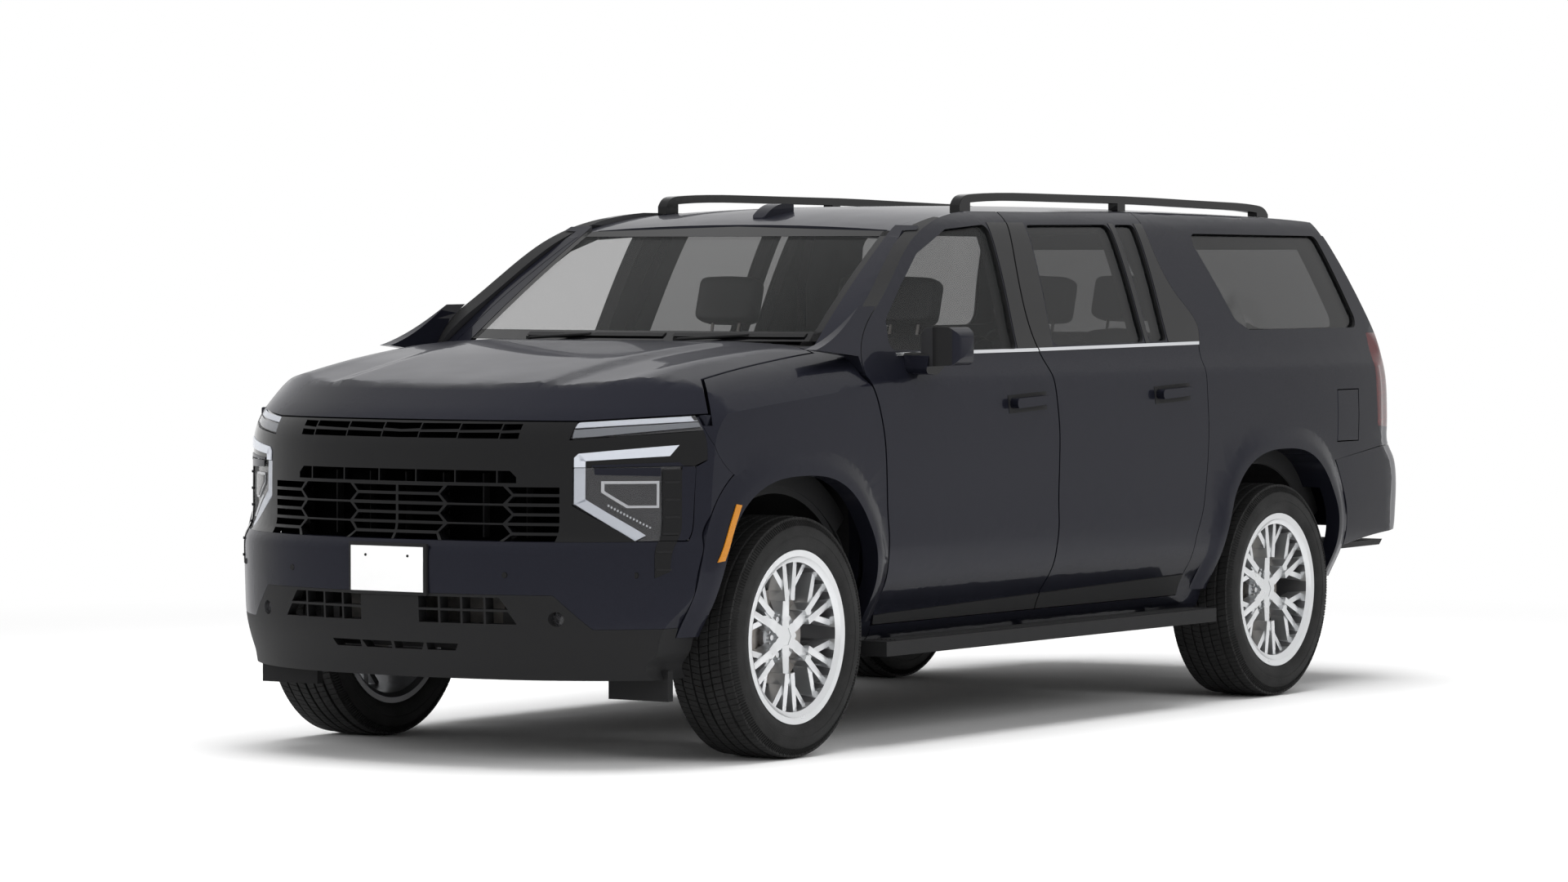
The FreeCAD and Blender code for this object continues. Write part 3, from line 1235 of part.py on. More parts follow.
def exhaust():
    """Silencer and its front pipe on the right."""
    z = 350
    box = Part.makeCylinder(84, 540, V(-245, along(345), z), V(0, 1, 0))
    pipe = Part.makeCylinder(32, 1200, V(-245, along(-800), z), V(0, 1, 0))
    hanger = block(-250, -240, along(-690), along(-670), z, size("rail_bottom") + 110 - 0.3)
    tail = [V(-245, along(870), z), V(-286, along(1060), z - 30), V(-300, REAR_AXLE - 200, 294),
            V(-302, REAR_AXLE + 90, 294), V(-420, REAR_AXLE + 350, 306), V(-600, REAR_AXLE + 700, 350),
            V(-690, REAR_AXLE + 980, 400), V(-700, REAR - 150, 430)]
    line = Part.BSplineCurve()
    line.interpolate(tail)
    ring = Part.Wire(Part.makeCircle(30, tail[0], line.tangent(line.FirstParameter)[0]))
    tail = Part.Wire(line.toShape()).makePipeShell([ring], True, False)
    return box.fuse([pipe, hanger, tail])


def spare_wheel():
    """Spare tyre hung flat under the load floor."""
    tyre = Part.makeCylinder(340, 180, V(0, REAR_AXLE + 560, 350), V(0, 0, 1))
    top = size("floor_height") - size("floor_thickness") - size("seat_gap")
    return tyre.fuse(Part.makeCylinder(40, top - 500, V(0, REAR_AXLE + 560, 500), V(0, 0, 1)))


def door_mirror():
    """Left door mirror: housing and the arm that carries it on the door."""
    front_view = [(1018, 1352), (1060, 1330), (1168, 1336), (1192, 1372), (1182, 1446), (1150, 1470),
                  (1052, 1468), (1020, 1440)]
    zone = through_y(front_panel(front_view, 34), along(-1190), along(-1000))
    plan = through_z(plan_panel([(1010, -1128), (1100, -1166), (1180, -1140), (1196, -1060), (1176, -1026),
                                 (1016, -1006)], 34), level(1300), level(1500))
    glass = block(across(1034), across(1182), along(-1028), along(-1000), level(1346), level(1456))
    arm = through_x(side_panel([(-1176, 1306), (-1150, 1376), (-1060, 1380), (-1046, 1330), (-1100, 1300)], 16),
                    across(925), across(1070))
    return [zone.common(plan).cut(glass), arm.cut(side_solid(40, 900))]


FUEL_LID = [(2004, 980), (2004, 1190), (2198, 1190), (2198, 980)]


def fuel_door():
    """Filler lid flush with the left quarter."""
    return side_solid(0, 10).common(through_x(inset_outline([[a, b] for a, b in zip(
        FUEL_LID, FUEL_LID[1:] + FUEL_LID[:1])], 4)))


def assemble():
    """Every node in order."""
    body_set()
    for name, shape in (("floor_pan", floor_pan()), ("cowl", cowl()), ("seats", seats()),
                        ("dashboard", dashboard()), ("steering_wheel", steering_wheel()),
                        ("roof_rails", roof_rails()), ("running_boards", running_boards()),
                        ("radiator", radiator()), ("wipers", wipers()), ("tow_receiver", tow_receiver()),
                        ("exhaust", exhaust()), ("spare_wheel", spare_wheel())):
        keep(name, shape)
    keep("fuel_door", fuel_door())
    chassis_frame()
    heavy_masses()
    wheels()
    knuckles()
    running_gear()
    doc.recompute()


def export():
    """Check every shape and write the nodes."""
    faults = [item.Label for item in doc.Objects if {"Invalid", "Error"} & set(item.State)]
    faults += [name for name, item in nodes.items() if item.Shape.isNull() or not item.Shape.isValid()]
    if faults:
        raise RuntimeError("faulty objects: " + ", ".join(faults))
    os.makedirs("parts", exist_ok=True)
    for name, item in nodes.items():
        item.Shape.exportStep("parts/%s.step" % name)


assemble()
export()
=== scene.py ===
"""Looks of a full-size sport utility vehicle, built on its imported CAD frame.

X runs to the vehicle's left, Y to its rear and Z up, in metres.
"""
import json
import math

import bmesh
import bpy
from bpy.props import FloatProperty, FloatVectorProperty, PointerProperty
from mathutils import Matrix, Vector
from mathutils.bvhtree import BVHTree

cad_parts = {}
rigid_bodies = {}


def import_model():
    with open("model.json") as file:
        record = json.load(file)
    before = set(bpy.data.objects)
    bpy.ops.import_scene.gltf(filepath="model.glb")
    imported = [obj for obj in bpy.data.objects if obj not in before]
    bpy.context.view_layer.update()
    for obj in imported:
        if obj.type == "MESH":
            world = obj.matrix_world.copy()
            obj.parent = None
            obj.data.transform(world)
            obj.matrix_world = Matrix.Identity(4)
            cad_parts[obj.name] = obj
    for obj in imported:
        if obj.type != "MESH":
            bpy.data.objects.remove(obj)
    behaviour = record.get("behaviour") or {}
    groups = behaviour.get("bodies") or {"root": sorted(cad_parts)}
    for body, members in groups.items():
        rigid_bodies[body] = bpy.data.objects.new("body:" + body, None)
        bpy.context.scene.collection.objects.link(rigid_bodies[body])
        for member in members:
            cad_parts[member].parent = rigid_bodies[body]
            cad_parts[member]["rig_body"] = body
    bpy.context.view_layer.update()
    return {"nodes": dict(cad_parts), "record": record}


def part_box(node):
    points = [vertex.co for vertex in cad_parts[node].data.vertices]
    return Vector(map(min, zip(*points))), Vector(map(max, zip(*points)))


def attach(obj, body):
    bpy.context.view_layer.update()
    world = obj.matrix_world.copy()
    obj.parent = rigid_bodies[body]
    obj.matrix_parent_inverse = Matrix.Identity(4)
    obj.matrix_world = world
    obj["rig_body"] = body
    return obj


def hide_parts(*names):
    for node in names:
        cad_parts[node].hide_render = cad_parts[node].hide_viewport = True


bl_info = {
    "name": "Full-size SUV",
    "version": (1, 0, 0),
    "blender": (4, 5, 0),
    "location": "3D View > Sidebar > SUV",
    "description": "Finishes, wheels, lamps, trim and cabin of a full-size SUV",
    "category": "Object",
}

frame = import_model()
NODES = frame["nodes"]
SLOTS = {row["node"]: row["material_slot"] for row in frame["record"]["subparts"]}


# Sizes and colours a user would change

class PaintSettings(bpy.types.PropertyGroup):
    colour: FloatVectorProperty(
        name="Body colour", description="Colour of the metallic base coat",
        default=(0.010, 0.0105, 0.016), size=3, min=0, max=1, subtype="COLOR")
    flake_scale: FloatProperty(
        name="Flakes", description="Metal flakes per metre", default=1400, min=100, max=5000)
    edge_radius: FloatProperty(
        name="Panel edge", description="Radius of the folded panel edges",
        default=0.0025, min=0, max=0.01, unit="LENGTH")


class StageSettings(bpy.types.PropertyGroup):
    daylight: FloatProperty(
        name="Daylight", description="Strength of the even light from all round", default=0.42, min=0, max=2)
    key: FloatProperty(
        name="Overhead light", description="Power of the large lamp over the roof", default=900,
        min=0, max=5000, unit="POWER")


# Shader helpers

def new_material(name, colour, roughness, metallic=0.0, **sockets):
    """Principled material whose even values stand on the shader's own sockets."""
    material = bpy.data.materials.new(name)
    material.use_nodes = True
    shader = material.node_tree.nodes["Principled BSDF"]
    shader.inputs["Base Color"].default_value = (*colour, 1.0)
    shader.inputs["Roughness"].default_value = roughness
    shader.inputs["Metallic"].default_value = metallic
    for socket, value in sockets.items():
        shader.inputs[socket.replace("_", " ")].default_value = value
    material.diffuse_color = (*colour, 1.0)
    return material


def add_node(material, kind, **values):
    """Node with its settings and unlinked inputs given."""
    node = material.node_tree.nodes.new(kind)
    for key, value in values.items():
        if key in node.inputs:
            node.inputs[key].default_value = value
        else:
            setattr(node, key, value)
    return node


def link(material, start, end):
    """Connect two sockets."""
    material.node_tree.links.new(start, end)


def principled(material):
    return material.node_tree.nodes["Principled BSDF"]


def object_noise(material, scale, detail=2.0, stretch=(1, 1, 1)):
    """Noise on Object coordinates, stretched along the axes."""
    place = add_node(material, "ShaderNodeTexCoord")
    mapping = add_node(material, "ShaderNodeMapping", Scale=stretch)
    noise = add_node(material, "ShaderNodeTexNoise", Scale=scale, Detail=detail)
    link(material, place.outputs["Object"], mapping.inputs["Vector"])
    link(material, mapping.outputs["Vector"], noise.inputs["Vector"])
    return noise


def vary(material, noise, socket, low, high):
    """Let a noise move a grey socket between two values."""
    spread = add_node(material, "ShaderNodeMapRange")
    spread.inputs["From Min"].default_value = 0.3
    spread.inputs["From Max"].default_value = 0.7
    spread.inputs["To Min"].default_value = low
    spread.inputs["To Max"].default_value = high
    link(material, noise.outputs["Fac"], spread.inputs["Value"])
    link(material, spread.outputs["Result"], principled(material).inputs[socket])


def vary_colour(material, noise, dark, light):
    """Let a noise move the base colour between two tones."""
    ramp = add_node(material, "ShaderNodeValToRGB")
    ramp.color_ramp.elements[0].position = 0.32
    ramp.color_ramp.elements[0].color = (*dark, 1)
    ramp.color_ramp.elements[1].position = 0.68
    ramp.color_ramp.elements[1].color = (*light, 1)
    link(material, noise.outputs["Fac"], ramp.inputs["Fac"])
    link(material, ramp.outputs["Color"], principled(material).inputs["Base Color"])


def roughen(material, source, distance, strength=0.5):
    """Bump from a noise or pattern, distance deep in metres."""
    bump = add_node(material, "ShaderNodeBump", Strength=strength, Distance=distance)
    output = source.outputs["Fac"] if "Fac" in source.outputs else source.outputs[0]
    link(material, output, bump.inputs["Height"])
    link(material, bump.outputs["Normal"], principled(material).inputs["Normal"])


def tone(colour, factor):
    return tuple(min(1.0, part * factor) for part in colour)


# Finishes

def body_paint():
    """Metallic base coat with fine flakes under a clear coat."""
    paint = bpy.context.scene.suv_paint
    colour = tuple(paint.colour)
    material = new_material("body_paint", colour, 0.34, 0.5, IOR=1.3, Specular_IOR_Level=0.25,
                            Specular_Tint=(0.3, 0.3, 0.34, 1.0), Coat_Weight=0.4, Coat_Roughness=0.03,
                            Coat_IOR=1.3)
    flakes = add_node(material, "ShaderNodeTexVoronoi", Scale=paint.flake_scale)
    place = add_node(material, "ShaderNodeTexCoord")
    link(material, place.outputs["Object"], flakes.inputs["Vector"])
    mix = add_node(material, "ShaderNodeValToRGB")
    mix.color_ramp.elements[0].color = (*tone(colour, 0.75), 1)
    mix.color_ramp.elements[1].color = (*tone(colour, 1.5), 1)
    link(material, flakes.outputs["Color"], mix.inputs["Fac"])
    link(material, mix.outputs["Color"], principled(material).inputs["Base Color"])
    vary(material, object_noise(material, 3.0), "Roughness", 0.29, 0.36)
    return material


def grained_black():
    material = new_material("grained_black", (0.011, 0.011, 0.0115), 0.6, IOR=1.25)
    grain = object_noise(material, 900.0, 4.0)
    vary(material, grain, "Roughness", 0.5, 0.74)
    roughen(material, grain, 0.0003, 0.5)
    return material


def tyre_rubber():
    material = new_material("tyre_rubber", (0.012, 0.012, 0.013), 0.72, IOR=1.3)
    grain = object_noise(material, 380.0, 5.0)
    vary(material, grain, "Roughness", 0.6, 0.82)
    vary_colour(material, object_noise(material, 12.0, 5.0), (0.008, 0.008, 0.008), (0.015, 0.015, 0.015))
    roughen(material, grain, 0.0004, 0.35)
    return material


def chassis_black():
    material = new_material("chassis_black", (0.014, 0.014, 0.015), 0.5)
    wear = object_noise(material, 18.0, 6.0)
    vary(material, wear, "Roughness", 0.35, 0.7)
    roughen(material, object_noise(material, 250.0, 3.0), 0.0005, 0.4)
    return material


def cast_iron():
    material = new_material("cast_iron", (0.09, 0.088, 0.085), 0.6, 0.6)
    cast = object_noise(material, 320.0, 5.0)
    vary_colour(material, object_noise(material, 14.0, 5.0), (0.06, 0.058, 0.056), (0.13, 0.12, 0.11))
    roughen(material, cast, 0.0008, 0.6)
    return material


def dull_steel():
    material = new_material("dull_steel", (0.36, 0.34, 0.32), 0.38, 1.0)
    vary_colour(material, object_noise(material, 9.0, 6.0), (0.26, 0.23, 0.20), (0.42, 0.40, 0.38))
    vary(material, object_noise(material, 120.0, 3.0, (1, 0.05, 1)), "Roughness", 0.28, 0.5)
    return material


def black_leather():
    material = new_material("black_leather", (0.016, 0.016, 0.017), 0.5)
    place = add_node(material, "ShaderNodeTexCoord")
    cells = add_node(material, "ShaderNodeTexVoronoi", Scale=420.0)
    link(material, place.outputs["Object"], cells.inputs["Vector"])
    bump = add_node(material, "ShaderNodeBump", Strength=0.5, Distance=0.0006)
    link(material, cells.outputs["Distance"], bump.inputs["Height"])
    link(material, bump.outputs["Normal"], principled(material).inputs["Normal"])
    vary(material, object_noise(material, 30.0, 4.0), "Roughness", 0.42, 0.6)
    return material


def cabin_plastic():
    material = new_material("cabin_plastic", (0.022, 0.022, 0.024), 0.6)
    grain = object_noise(material, 1100.0, 3.0)
    roughen(material, grain, 0.0003, 0.5)
    vary(material, object_noise(material, 8.0), "Roughness", 0.52, 0.7)
    return material


# Slot: name, colour, roughness, metallic, other sockets, scale of the wear and its range
WORN = {
    "paint_black": ("gloss_black", (0.003, 0.003, 0.0035), 0.09, 0.0, {"IOR": 1.3}, 35.0, (0.06, 0.14)),
    "rim": ("wheel_silver", (0.60, 0.61, 0.62), 0.3, 0.85, {"Coat Weight": 0.6}, 9.0, (0.27, 0.33)),
    "lamp": ("lamp_lens", (0.75, 0.77, 0.8), 0.06, 0.0, {"Coat Weight": 1.0}, 40.0, (0.04, 0.10)),
    "tail_lamp": ("red_lens", (0.10, 0.002, 0.004), 0.08, 0.0, {"Coat Weight": 1.0}, 30.0, (0.05, 0.14)),
    "glass": ("smoked_glass", (0.004, 0.0045, 0.005), 0.02, 0.0, {"IOR": 1.4, "Alpha": 0.52}, 4.0,
              (0.01, 0.03)),
}


def worn(slot):
    """Finish whose roughness alone varies."""
    name, colour, roughness, metallic, sockets, scale, (low, high) = WORN[slot]
    material = new_material(name, colour, roughness, metallic, **sockets)
    vary(material, object_noise(material, scale), "Roughness", low, high)
    return material


# Name: colour, roughness, metallic, other sockets
SHADES = {
    "clear_glass": ((0.010, 0.011, 0.011), 0.02, 0.0, {"IOR": 1.4, "Alpha": 0.22}),
    "mirror_glass": ((0.75, 0.77, 0.8), 0.02, 1.0, {}),
    "bright_strip": ((0.62, 0.63, 0.65), 0.2, 1.0, {}),
    "lamp_dark": ((0.012, 0.012, 0.014), 0.22, 0.0, {"Coat Weight": 0.5}),
    "clear_cover": ((0.05, 0.05, 0.055), 0.03, 0.0, {"Alpha": 0.10}),
    "red_cover": ((0.08, 0.001, 0.003), 0.05, 0.0, {"IOR": 1.3, "Alpha": 0.75}),
    "day_light": ((0.45, 0.47, 0.51), 0.22, 0.0,
                  {"Emission Color": (0.8, 0.85, 1.0, 1.0), "Emission Strength": 0.10}),
    "red_light": ((0.55, 0.01, 0.015), 0.2, 0.0,
                  {"Emission Color": (1.0, 0.02, 0.02, 1.0), "Emission Strength": 0.12}),
    "crystal": ((0.20, 0.21, 0.23), 0.12, 0.6, {}),
    "amber": ((0.46, 0.17, 0.002), 0.25, 0.0, {}),
    # Unlit, barely reflecting black that paints the shade behind the grille's openings
    "grille_dark": ((0.0015, 0.0015, 0.0017), 0.8, 0.0, {"IOR": 1.1}),
    "rim_inside": ((0.16, 0.16, 0.165), 0.4, 0.8, {}),
    "plate_white": ((0.86, 0.86, 0.86), 0.35, 0.0, {}),
    "screen_glass": ((0.004, 0.004, 0.005), 0.05, 0.0, {"Coat Weight": 1.0}),
}
FINISHES = {
    "paint": body_paint, "trim_black": grained_black, "tyre": tyre_rubber, "frame": chassis_black,
    "iron": cast_iron, "steel": dull_steel, "seat": black_leather, "cabin": cabin_plastic,
}
MADE = {}
WEAR_SCALE = 5.0


def shade(name):
    """One of the plain finishes with a fine even wear, made the first time it is asked for."""
    if name not in MADE:
        colour, roughness, metallic, sockets = SHADES[name]
        MADE[name] = new_material(name, colour, roughness, metallic, **sockets)
        vary(MADE[name], object_noise(MADE[name], WEAR_SCALE), "Roughness", roughness * 0.8, roughness * 1.25)
    return MADE[name]


def finish(slot):
    """The one material of a slot."""
    if slot not in MADE:
        MADE[slot] = worn(slot) if slot in WORN else FINISHES[slot]()
    return MADE[slot]


# Mesh helpers

def dress(obj, material):
    """Give an object one material."""
    obj.data.materials.clear()
    obj.data.materials.append(material)


def piece(name, bm, slot, body, material=None, smooth=35.0):
    """Turn a bmesh into a finished piece that rides on a body."""
    mesh = bpy.data.meshes.new(name)
    bm.normal_update()
    bm.to_mesh(mesh)
    bm.free()
    obj = bpy.data.objects.new(name, mesh)
    bpy.context.scene.collection.objects.link(obj)
    mesh.shade_smooth()
    if smooth < 180:
        mesh.set_sharp_from_angle(angle=math.radians(smooth))
    dress(obj, material or finish(slot))
    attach(obj, body)
    return obj


def body_of_node(node):
    return NODES[node]["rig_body"]


def merged(node):
    """Bmesh of a CAD node with its loose triangles joined."""
    bm = bmesh.new()
    bm.from_mesh(NODES[node].data)
    bmesh.ops.remove_doubles(bm, verts=bm.verts, dist=2e-5)
    bmesh.ops.dissolve_degenerate(bm, edges=bm.edges, dist=1e-5)
    return bm


def skin_copy(node, slot=None, edge=None, material=None, name=None, stands_in=True):
    """Merged, smooth copy of a CAD node with softened edges, in the node's place."""
    obj = piece(name or node + "_skin", merged(node), slot or SLOTS[node], body_of_node(node), material, 28)
    soften(obj, bpy.context.scene.suv_paint.edge_radius if edge is None else edge)
    if stands_in:
        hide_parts(node)
    return obj


def soften(obj, width, angle=32):
    """Rounded edges and even shading."""
    bevel = obj.modifiers.new("edge", "BEVEL")
    bevel.width = width
    bevel.segments = 2
    bevel.limit_method = "ANGLE"
    bevel.angle_limit = math.radians(angle)
    bevel.harden_normals = False
    bevel.use_clamp_overlap = True
    even = obj.modifiers.new("even", "WEIGHTED_NORMAL")
    even.mode = "FACE_AREA_WITH_ANGLE"
    even.weight = 50
    even.keep_sharp = True
    return obj


def tint(obj, material, test):
    """Give the faces that pass a test another finish."""
    obj.data.materials.append(material)
    index = len(obj.data.materials) - 1
    for face in obj.data.polygons:
        if test(face.center, face.normal):
            face.material_index = index


VIEWS = {
    "left": (Vector((1, 0, 0)), lambda u, v: Vector((0, u, v))),
    "right": (Vector((-1, 0, 0)), lambda u, v: Vector((0, u, v))),
    "front": (Vector((0, -1, 0)), lambda u, v: Vector((u, 0, v))),
    "back": (Vector((0, 1, 0)), lambda u, v: Vector((u, 0, v))),
    "top": (Vector((0, 0, 1)), lambda u, v: Vector((u, v, 0))),
}


def clip(bm, facing, corners):
    """Cut a bmesh back to a convex outline seen along a direction."""
    middle = sum(corners, Vector()) / len(corners)
    for start, end in zip(corners, corners[1:] + corners[:1]):
        normal = (end - start).cross(facing)
        if normal.dot(middle - start) > 0:
            normal.negate()
        bmesh.ops.bisect_plane(bm, geom=bm.verts[:] + bm.edges[:] + bm.faces[:], dist=1e-6,
                               plane_co=start, plane_no=normal, clear_outer=True)


def patch(name, node, view, outline, slot, lift=0.0, depth=0.0016, material=None, keep=None, face=0.25):
    """Layer that follows a node's skin inside a convex outline, lifted off it along its normals."""
    facing, place = VIEWS[view]
    bm = merged(node)
    bm.normal_update()
    waste = [f for f in bm.faces if f.normal.dot(facing) < face
             or (keep and not keep(f.calc_center_median()))]
    bmesh.ops.delete(bm, geom=waste, context="FACES")
    clip(bm, facing, [place(u, v) for u, v in outline])
    if not bm.faces:
        raise RuntimeError(name + " found no skin")
    bm.normal_update()
    for vert in bm.verts:
        vert.co += vert.normal * (lift + depth)
    bmesh.ops.solidify(bm, geom=bm.faces[:], thickness=depth)
    bmesh.ops.recalc_face_normals(bm, faces=bm.faces[:])
    return piece(name, bm, slot, body_of_node(node), material)


def block(low, high, round_by, segments=2):
    """Bmesh of a moulded block with rounded edges."""
    bm = bmesh.new()
    bmesh.ops.create_cube(bm, size=1.0)
    low, high = Vector(low), Vector(high)
    bmesh.ops.scale(bm, vec=high - low, verts=bm.verts)
    bmesh.ops.translate(bm, vec=(low + high) / 2, verts=bm.verts)
    bmesh.ops.bevel(bm, geom=bm.edges[:], offset=round_by, segments=segments, profile=0.5,
                    affect="EDGES", material=-1, clamp_overlap=True)
    return bm


def join(target, other):
    """Add one bmesh to another."""
    mesh = bpy.data.meshes.new("part")
    other.to_mesh(mesh)
    other.free()
    target.from_mesh(mesh)
    bpy.data.meshes.remove(mesh)
    return target


def gather(parts):
    """One bmesh from several."""
    whole = parts[0]
    for other in parts[1:]:
        join(whole, other)
    return whole


def turned(profile, steps, closed=True):
    """Bmesh turned about X from (station, radius) points."""
    bm = bmesh.new()
    verts = [bm.verts.new((x, 0, r)) for x, r in profile]
    pairs = list(zip(verts, verts[1:])) + ([(verts[-1], verts[0])] if closed else [])
    edges = [bm.edges.new(pair) for pair in pairs]
    bmesh.ops.spin(bm, geom=verts + edges, cent=(0, 0, 0), axis=(1, 0, 0), angle=2 * math.pi,
                   steps=steps, use_merge=True)
    bmesh.ops.remove_doubles(bm, verts=bm.verts, dist=1e-5)
    bmesh.ops.recalc_face_normals(bm, faces=bm.faces[:])
    return bm


def move(bm, matrix):
    """Transform a whole bmesh, keeping its faces outwards."""
    bmesh.ops.transform(bm, matrix=matrix, verts=bm.verts)
    if matrix.determinant() < 0:
        bmesh.ops.reverse_faces(bm, faces=bm.faces[:])
    return bm


# Painted panels

PANELS = ["roof_panel", "front_fenders", "hood", "front_bumper", "rear_bumper", "fuel_door"]
SIDES = (("left", 1), ("right", -1))


class SUV_OT_carried(bpy.types.Operator):
    """Give every CAD node that stays its finish"""
    bl_idname = "suv.carried"
    bl_label = "Finish the CAD nodes"

    def execute(self, context):
        for node, obj in NODES.items():
            dress(obj, finish(SLOTS[node]))
        return {"FINISHED"}


def inward(side):
    """Test for faces that look into the cabin."""
    return lambda centre, normal: normal.x * side < -0.35


def in_opening(centre, normal):
    """Test for the cut walls of the window openings."""
    return 1.37 < centre.z < 1.86 and abs(normal.x) < 0.34


def mirror_foot(centre, normal):
    """Test for the lower part of a mirror."""
    return abs(centre.x) > 1.045 and centre.z < 1.335 and centre.y < -0.95


def mirror_face(centre, normal):
    """Test for the glass of a mirror."""
    return abs(centre.x) > 1.035 and normal.y > 0.9 and -1.04 < centre.y < -1.0


class SUV_OT_panels(bpy.types.Operator):
    """Smooth painted panels in place of the CAD ones"""
    bl_idname = "suv.panels"
    bl_label = "Painted panels"

    def execute(self, context):
        for node in PANELS:
            skin_copy(node)
        sides = skin_copy("body_sides")
        tint(sides, finish("cabin"), lambda c, n: n.x * c.x < 0 and abs(n.x) > 0.4 and c.y > -1.35)
        tint(sides, finish("trim_black"), lambda c, n: c.y > 0.9 and in_opening(c, n))
        for name, side in SIDES:
            for row in ("front", "rear"):
                door = skin_copy("door_%s_%s" % (row, name))
                tint(door, finish("cabin"), inward(side))
                tint(door, finish("trim_black"), in_opening)
                tint(door, finish("paint_black"), mirror_foot)
                tint(door, shade("mirror_glass"), mirror_face)
        gate = skin_copy("liftgate")
        tint(gate, finish("cabin"), lambda c, n: n.y < -0.35)
        return {"FINISHED"}


# Windows and their trim

CLADDING = [("front", [(-1.42, 0.40), (-1.42, 0.452), (-1.203, 0.462), (-0.12, 0.485), (-0.12, 0.40)]),
            ("rear", [(-0.26, 0.40), (-0.26, 0.482), (-0.172, 0.484), (0.872, 0.506), (0.872, 0.40)])]
# Black patches round the door handles: painted shade of the handle recesses
HANDLE_SHADE_PATCHES = [("front", [(-0.512, 1.150), (-0.520, 1.216), (-0.252, 1.226), (-0.246, 1.160)]),
        ("rear", [(0.543, 1.162), (0.535, 1.228), (0.803, 1.238), (0.809, 1.172)])]
BANDS = [("front", [(-0.366, 1.384), (-0.288, 1.842), (-0.10, 1.842), (-0.10, 1.384)]),
         ("rear", [(-0.30, 1.384), (-0.30, 1.842), (-0.030, 1.842), (-0.115, 1.384)]),
         ("rear", [(0.566, 1.388), (0.588, 1.842), (0.622, 1.842), (0.594, 1.388)]),
         ("rear", [(0.738, 1.392), (0.779, 1.842), (1.05, 1.842), (1.05, 1.392)])]
STRIPS = [("front", [(-1.20, 1.366), (-1.20, 1.378), (-0.20, 1.382), (-0.20, 1.370)]),
          ("rear", [(-0.26, 1.370), (-0.26, 1.382), (1.0, 1.392), (1.0, 1.380)])]


class SUV_OT_window_trim(bpy.types.Operator):
    """Black pillar covers, bright belt strips, painted shade in the handle recesses, lower cladding and the
    windshield's band
    """
    bl_idname = "suv.window_trim"
    bl_label = "Window trim"

    def execute(self, context):
        for name, side in SIDES:
            for k, (row, outline) in enumerate(BANDS):
                patch("pillar_cover_%s_%d" % (name, k), "door_%s_%s" % (row, name), name, outline,
                      "paint_black", depth=0.0016, keep=off_mirror)
            for k, (row, outline) in enumerate(STRIPS):
                patch("belt_strip_%s_%d" % (name, k), "door_%s_%s" % (row, name), name, outline,
                      "steel", depth=0.003, material=shade("bright_strip"), keep=off_mirror)
            # Painted shade in each handle's recess, kept on the door skin inboard of the handle
            for row, outline in HANDLE_SHADE_PATCHES:
                node = "door_%s_%s" % (row, name)
                skin = abs(on_skin(node, name, outline[0][0], outline[1][1] + 0.02).x) + 0.008
                patch("handle_shade_%s_%s" % (row, name), node, name, outline, "trim_black", depth=0.0012,
                      keep=lambda c: abs(c.x) < skin)
            for row, outline in CLADDING:
                patch("cladding_%s_%s" % (row, name), "door_%s_%s" % (row, name), name, outline,
                      "trim_black", depth=0.004)
        frit()
        return {"FINISHED"}


def off_mirror(centre):
    """Test for skin that isn't the mirror's."""
    return abs(centre.x) < 0.99


FRIT = {"foot": [(-0.754, 1.418), (0.754, 1.418), (0.746, 1.452), (-0.746, 1.452)],
        "head": [(-0.680, 1.790), (0.680, 1.790), (0.671, 1.826), (-0.671, 1.826)],
        "left": [(0.760, 1.418), (0.725, 1.418), (0.642, 1.826), (0.680, 1.826)],
        "right": [(-0.760, 1.418), (-0.725, 1.418), (-0.642, 1.826), (-0.680, 1.826)]}


def frit():
    """Printed black band round the windshield."""
    for name, outline in FRIT.items():
        patch("frit_" + name, "fixed_glass", "front", outline, "glass", depth=0.0008,
              material=finish("paint_black"), keep=lambda c: c.y < 0)


class SUV_OT_glass(bpy.types.Operator):
    """Clearer panes in front, privacy glass behind"""
    bl_idname = "suv.glass"
    bl_label = "Glass"

    def execute(self, context):
        clear, privacy = shade("clear_glass"), finish("glass")
        for node in ("glass_front_left", "glass_front_right", "glass_rear_left", "glass_rear_right",
                     "liftgate_glass", "fixed_glass"):
            obj = piece(node + "_pane", merged(node), "glass", body_of_node(node), privacy, 30)
            if node.startswith("glass_front"):
                dress(obj, clear)
            if node == "fixed_glass":
                tint(obj, clear, lambda c, n: c.y < 0)
            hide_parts(node)
        return {"FINISHED"}


# Lamps, front and rear

C_LAMP = {
    "upright": [(0.643, 0.890), (0.643, 1.020), (0.676, 1.020), (0.676, 0.900)],
    "diagonal": [(0.643, 0.893), (0.676, 0.908), (0.838, 0.788), (0.814, 0.769)],
}
C_ARM = {
    "arm": [(0.660, 1.034), (0.656, 1.060), (0.908, 1.087), (0.888, 1.051)],
    "elbow": [(0.643, 1.014), (0.643, 1.046), (0.656, 1.060), (0.676, 1.036), (0.676, 1.014)],
}
FINS = (("headlamps", [(0.700, 1.012), (0.702, 0.990), (0.868, 0.984), (0.868, 1.012)]),
        ("grille", [(0.694, 1.012), (0.694, 1.022), (0.910, 1.030), (0.924, 1.012)]))
MODULE = [(0.720, 0.968), (0.720, 0.931), (0.788, 0.878), (0.866, 0.878), (0.866, 0.968)]
MODULE_INSIDE = [(0.729, 0.959), (0.729, 0.935), (0.792, 0.886), (0.860, 0.886), (0.860, 0.959)]
BEAD_LINE = ((0.735, 0.886), (0.840, 0.812))
BEADS = 14
UPPER = {"bar": [(0.628, 1.146), (0.628, 1.170), (0.960, 1.190), (0.960, 1.170)],
         "crystal": [(0.632, 1.112), (0.630, 1.140), (0.960, 1.166), (0.960, 1.150), (0.700, 1.118)]}
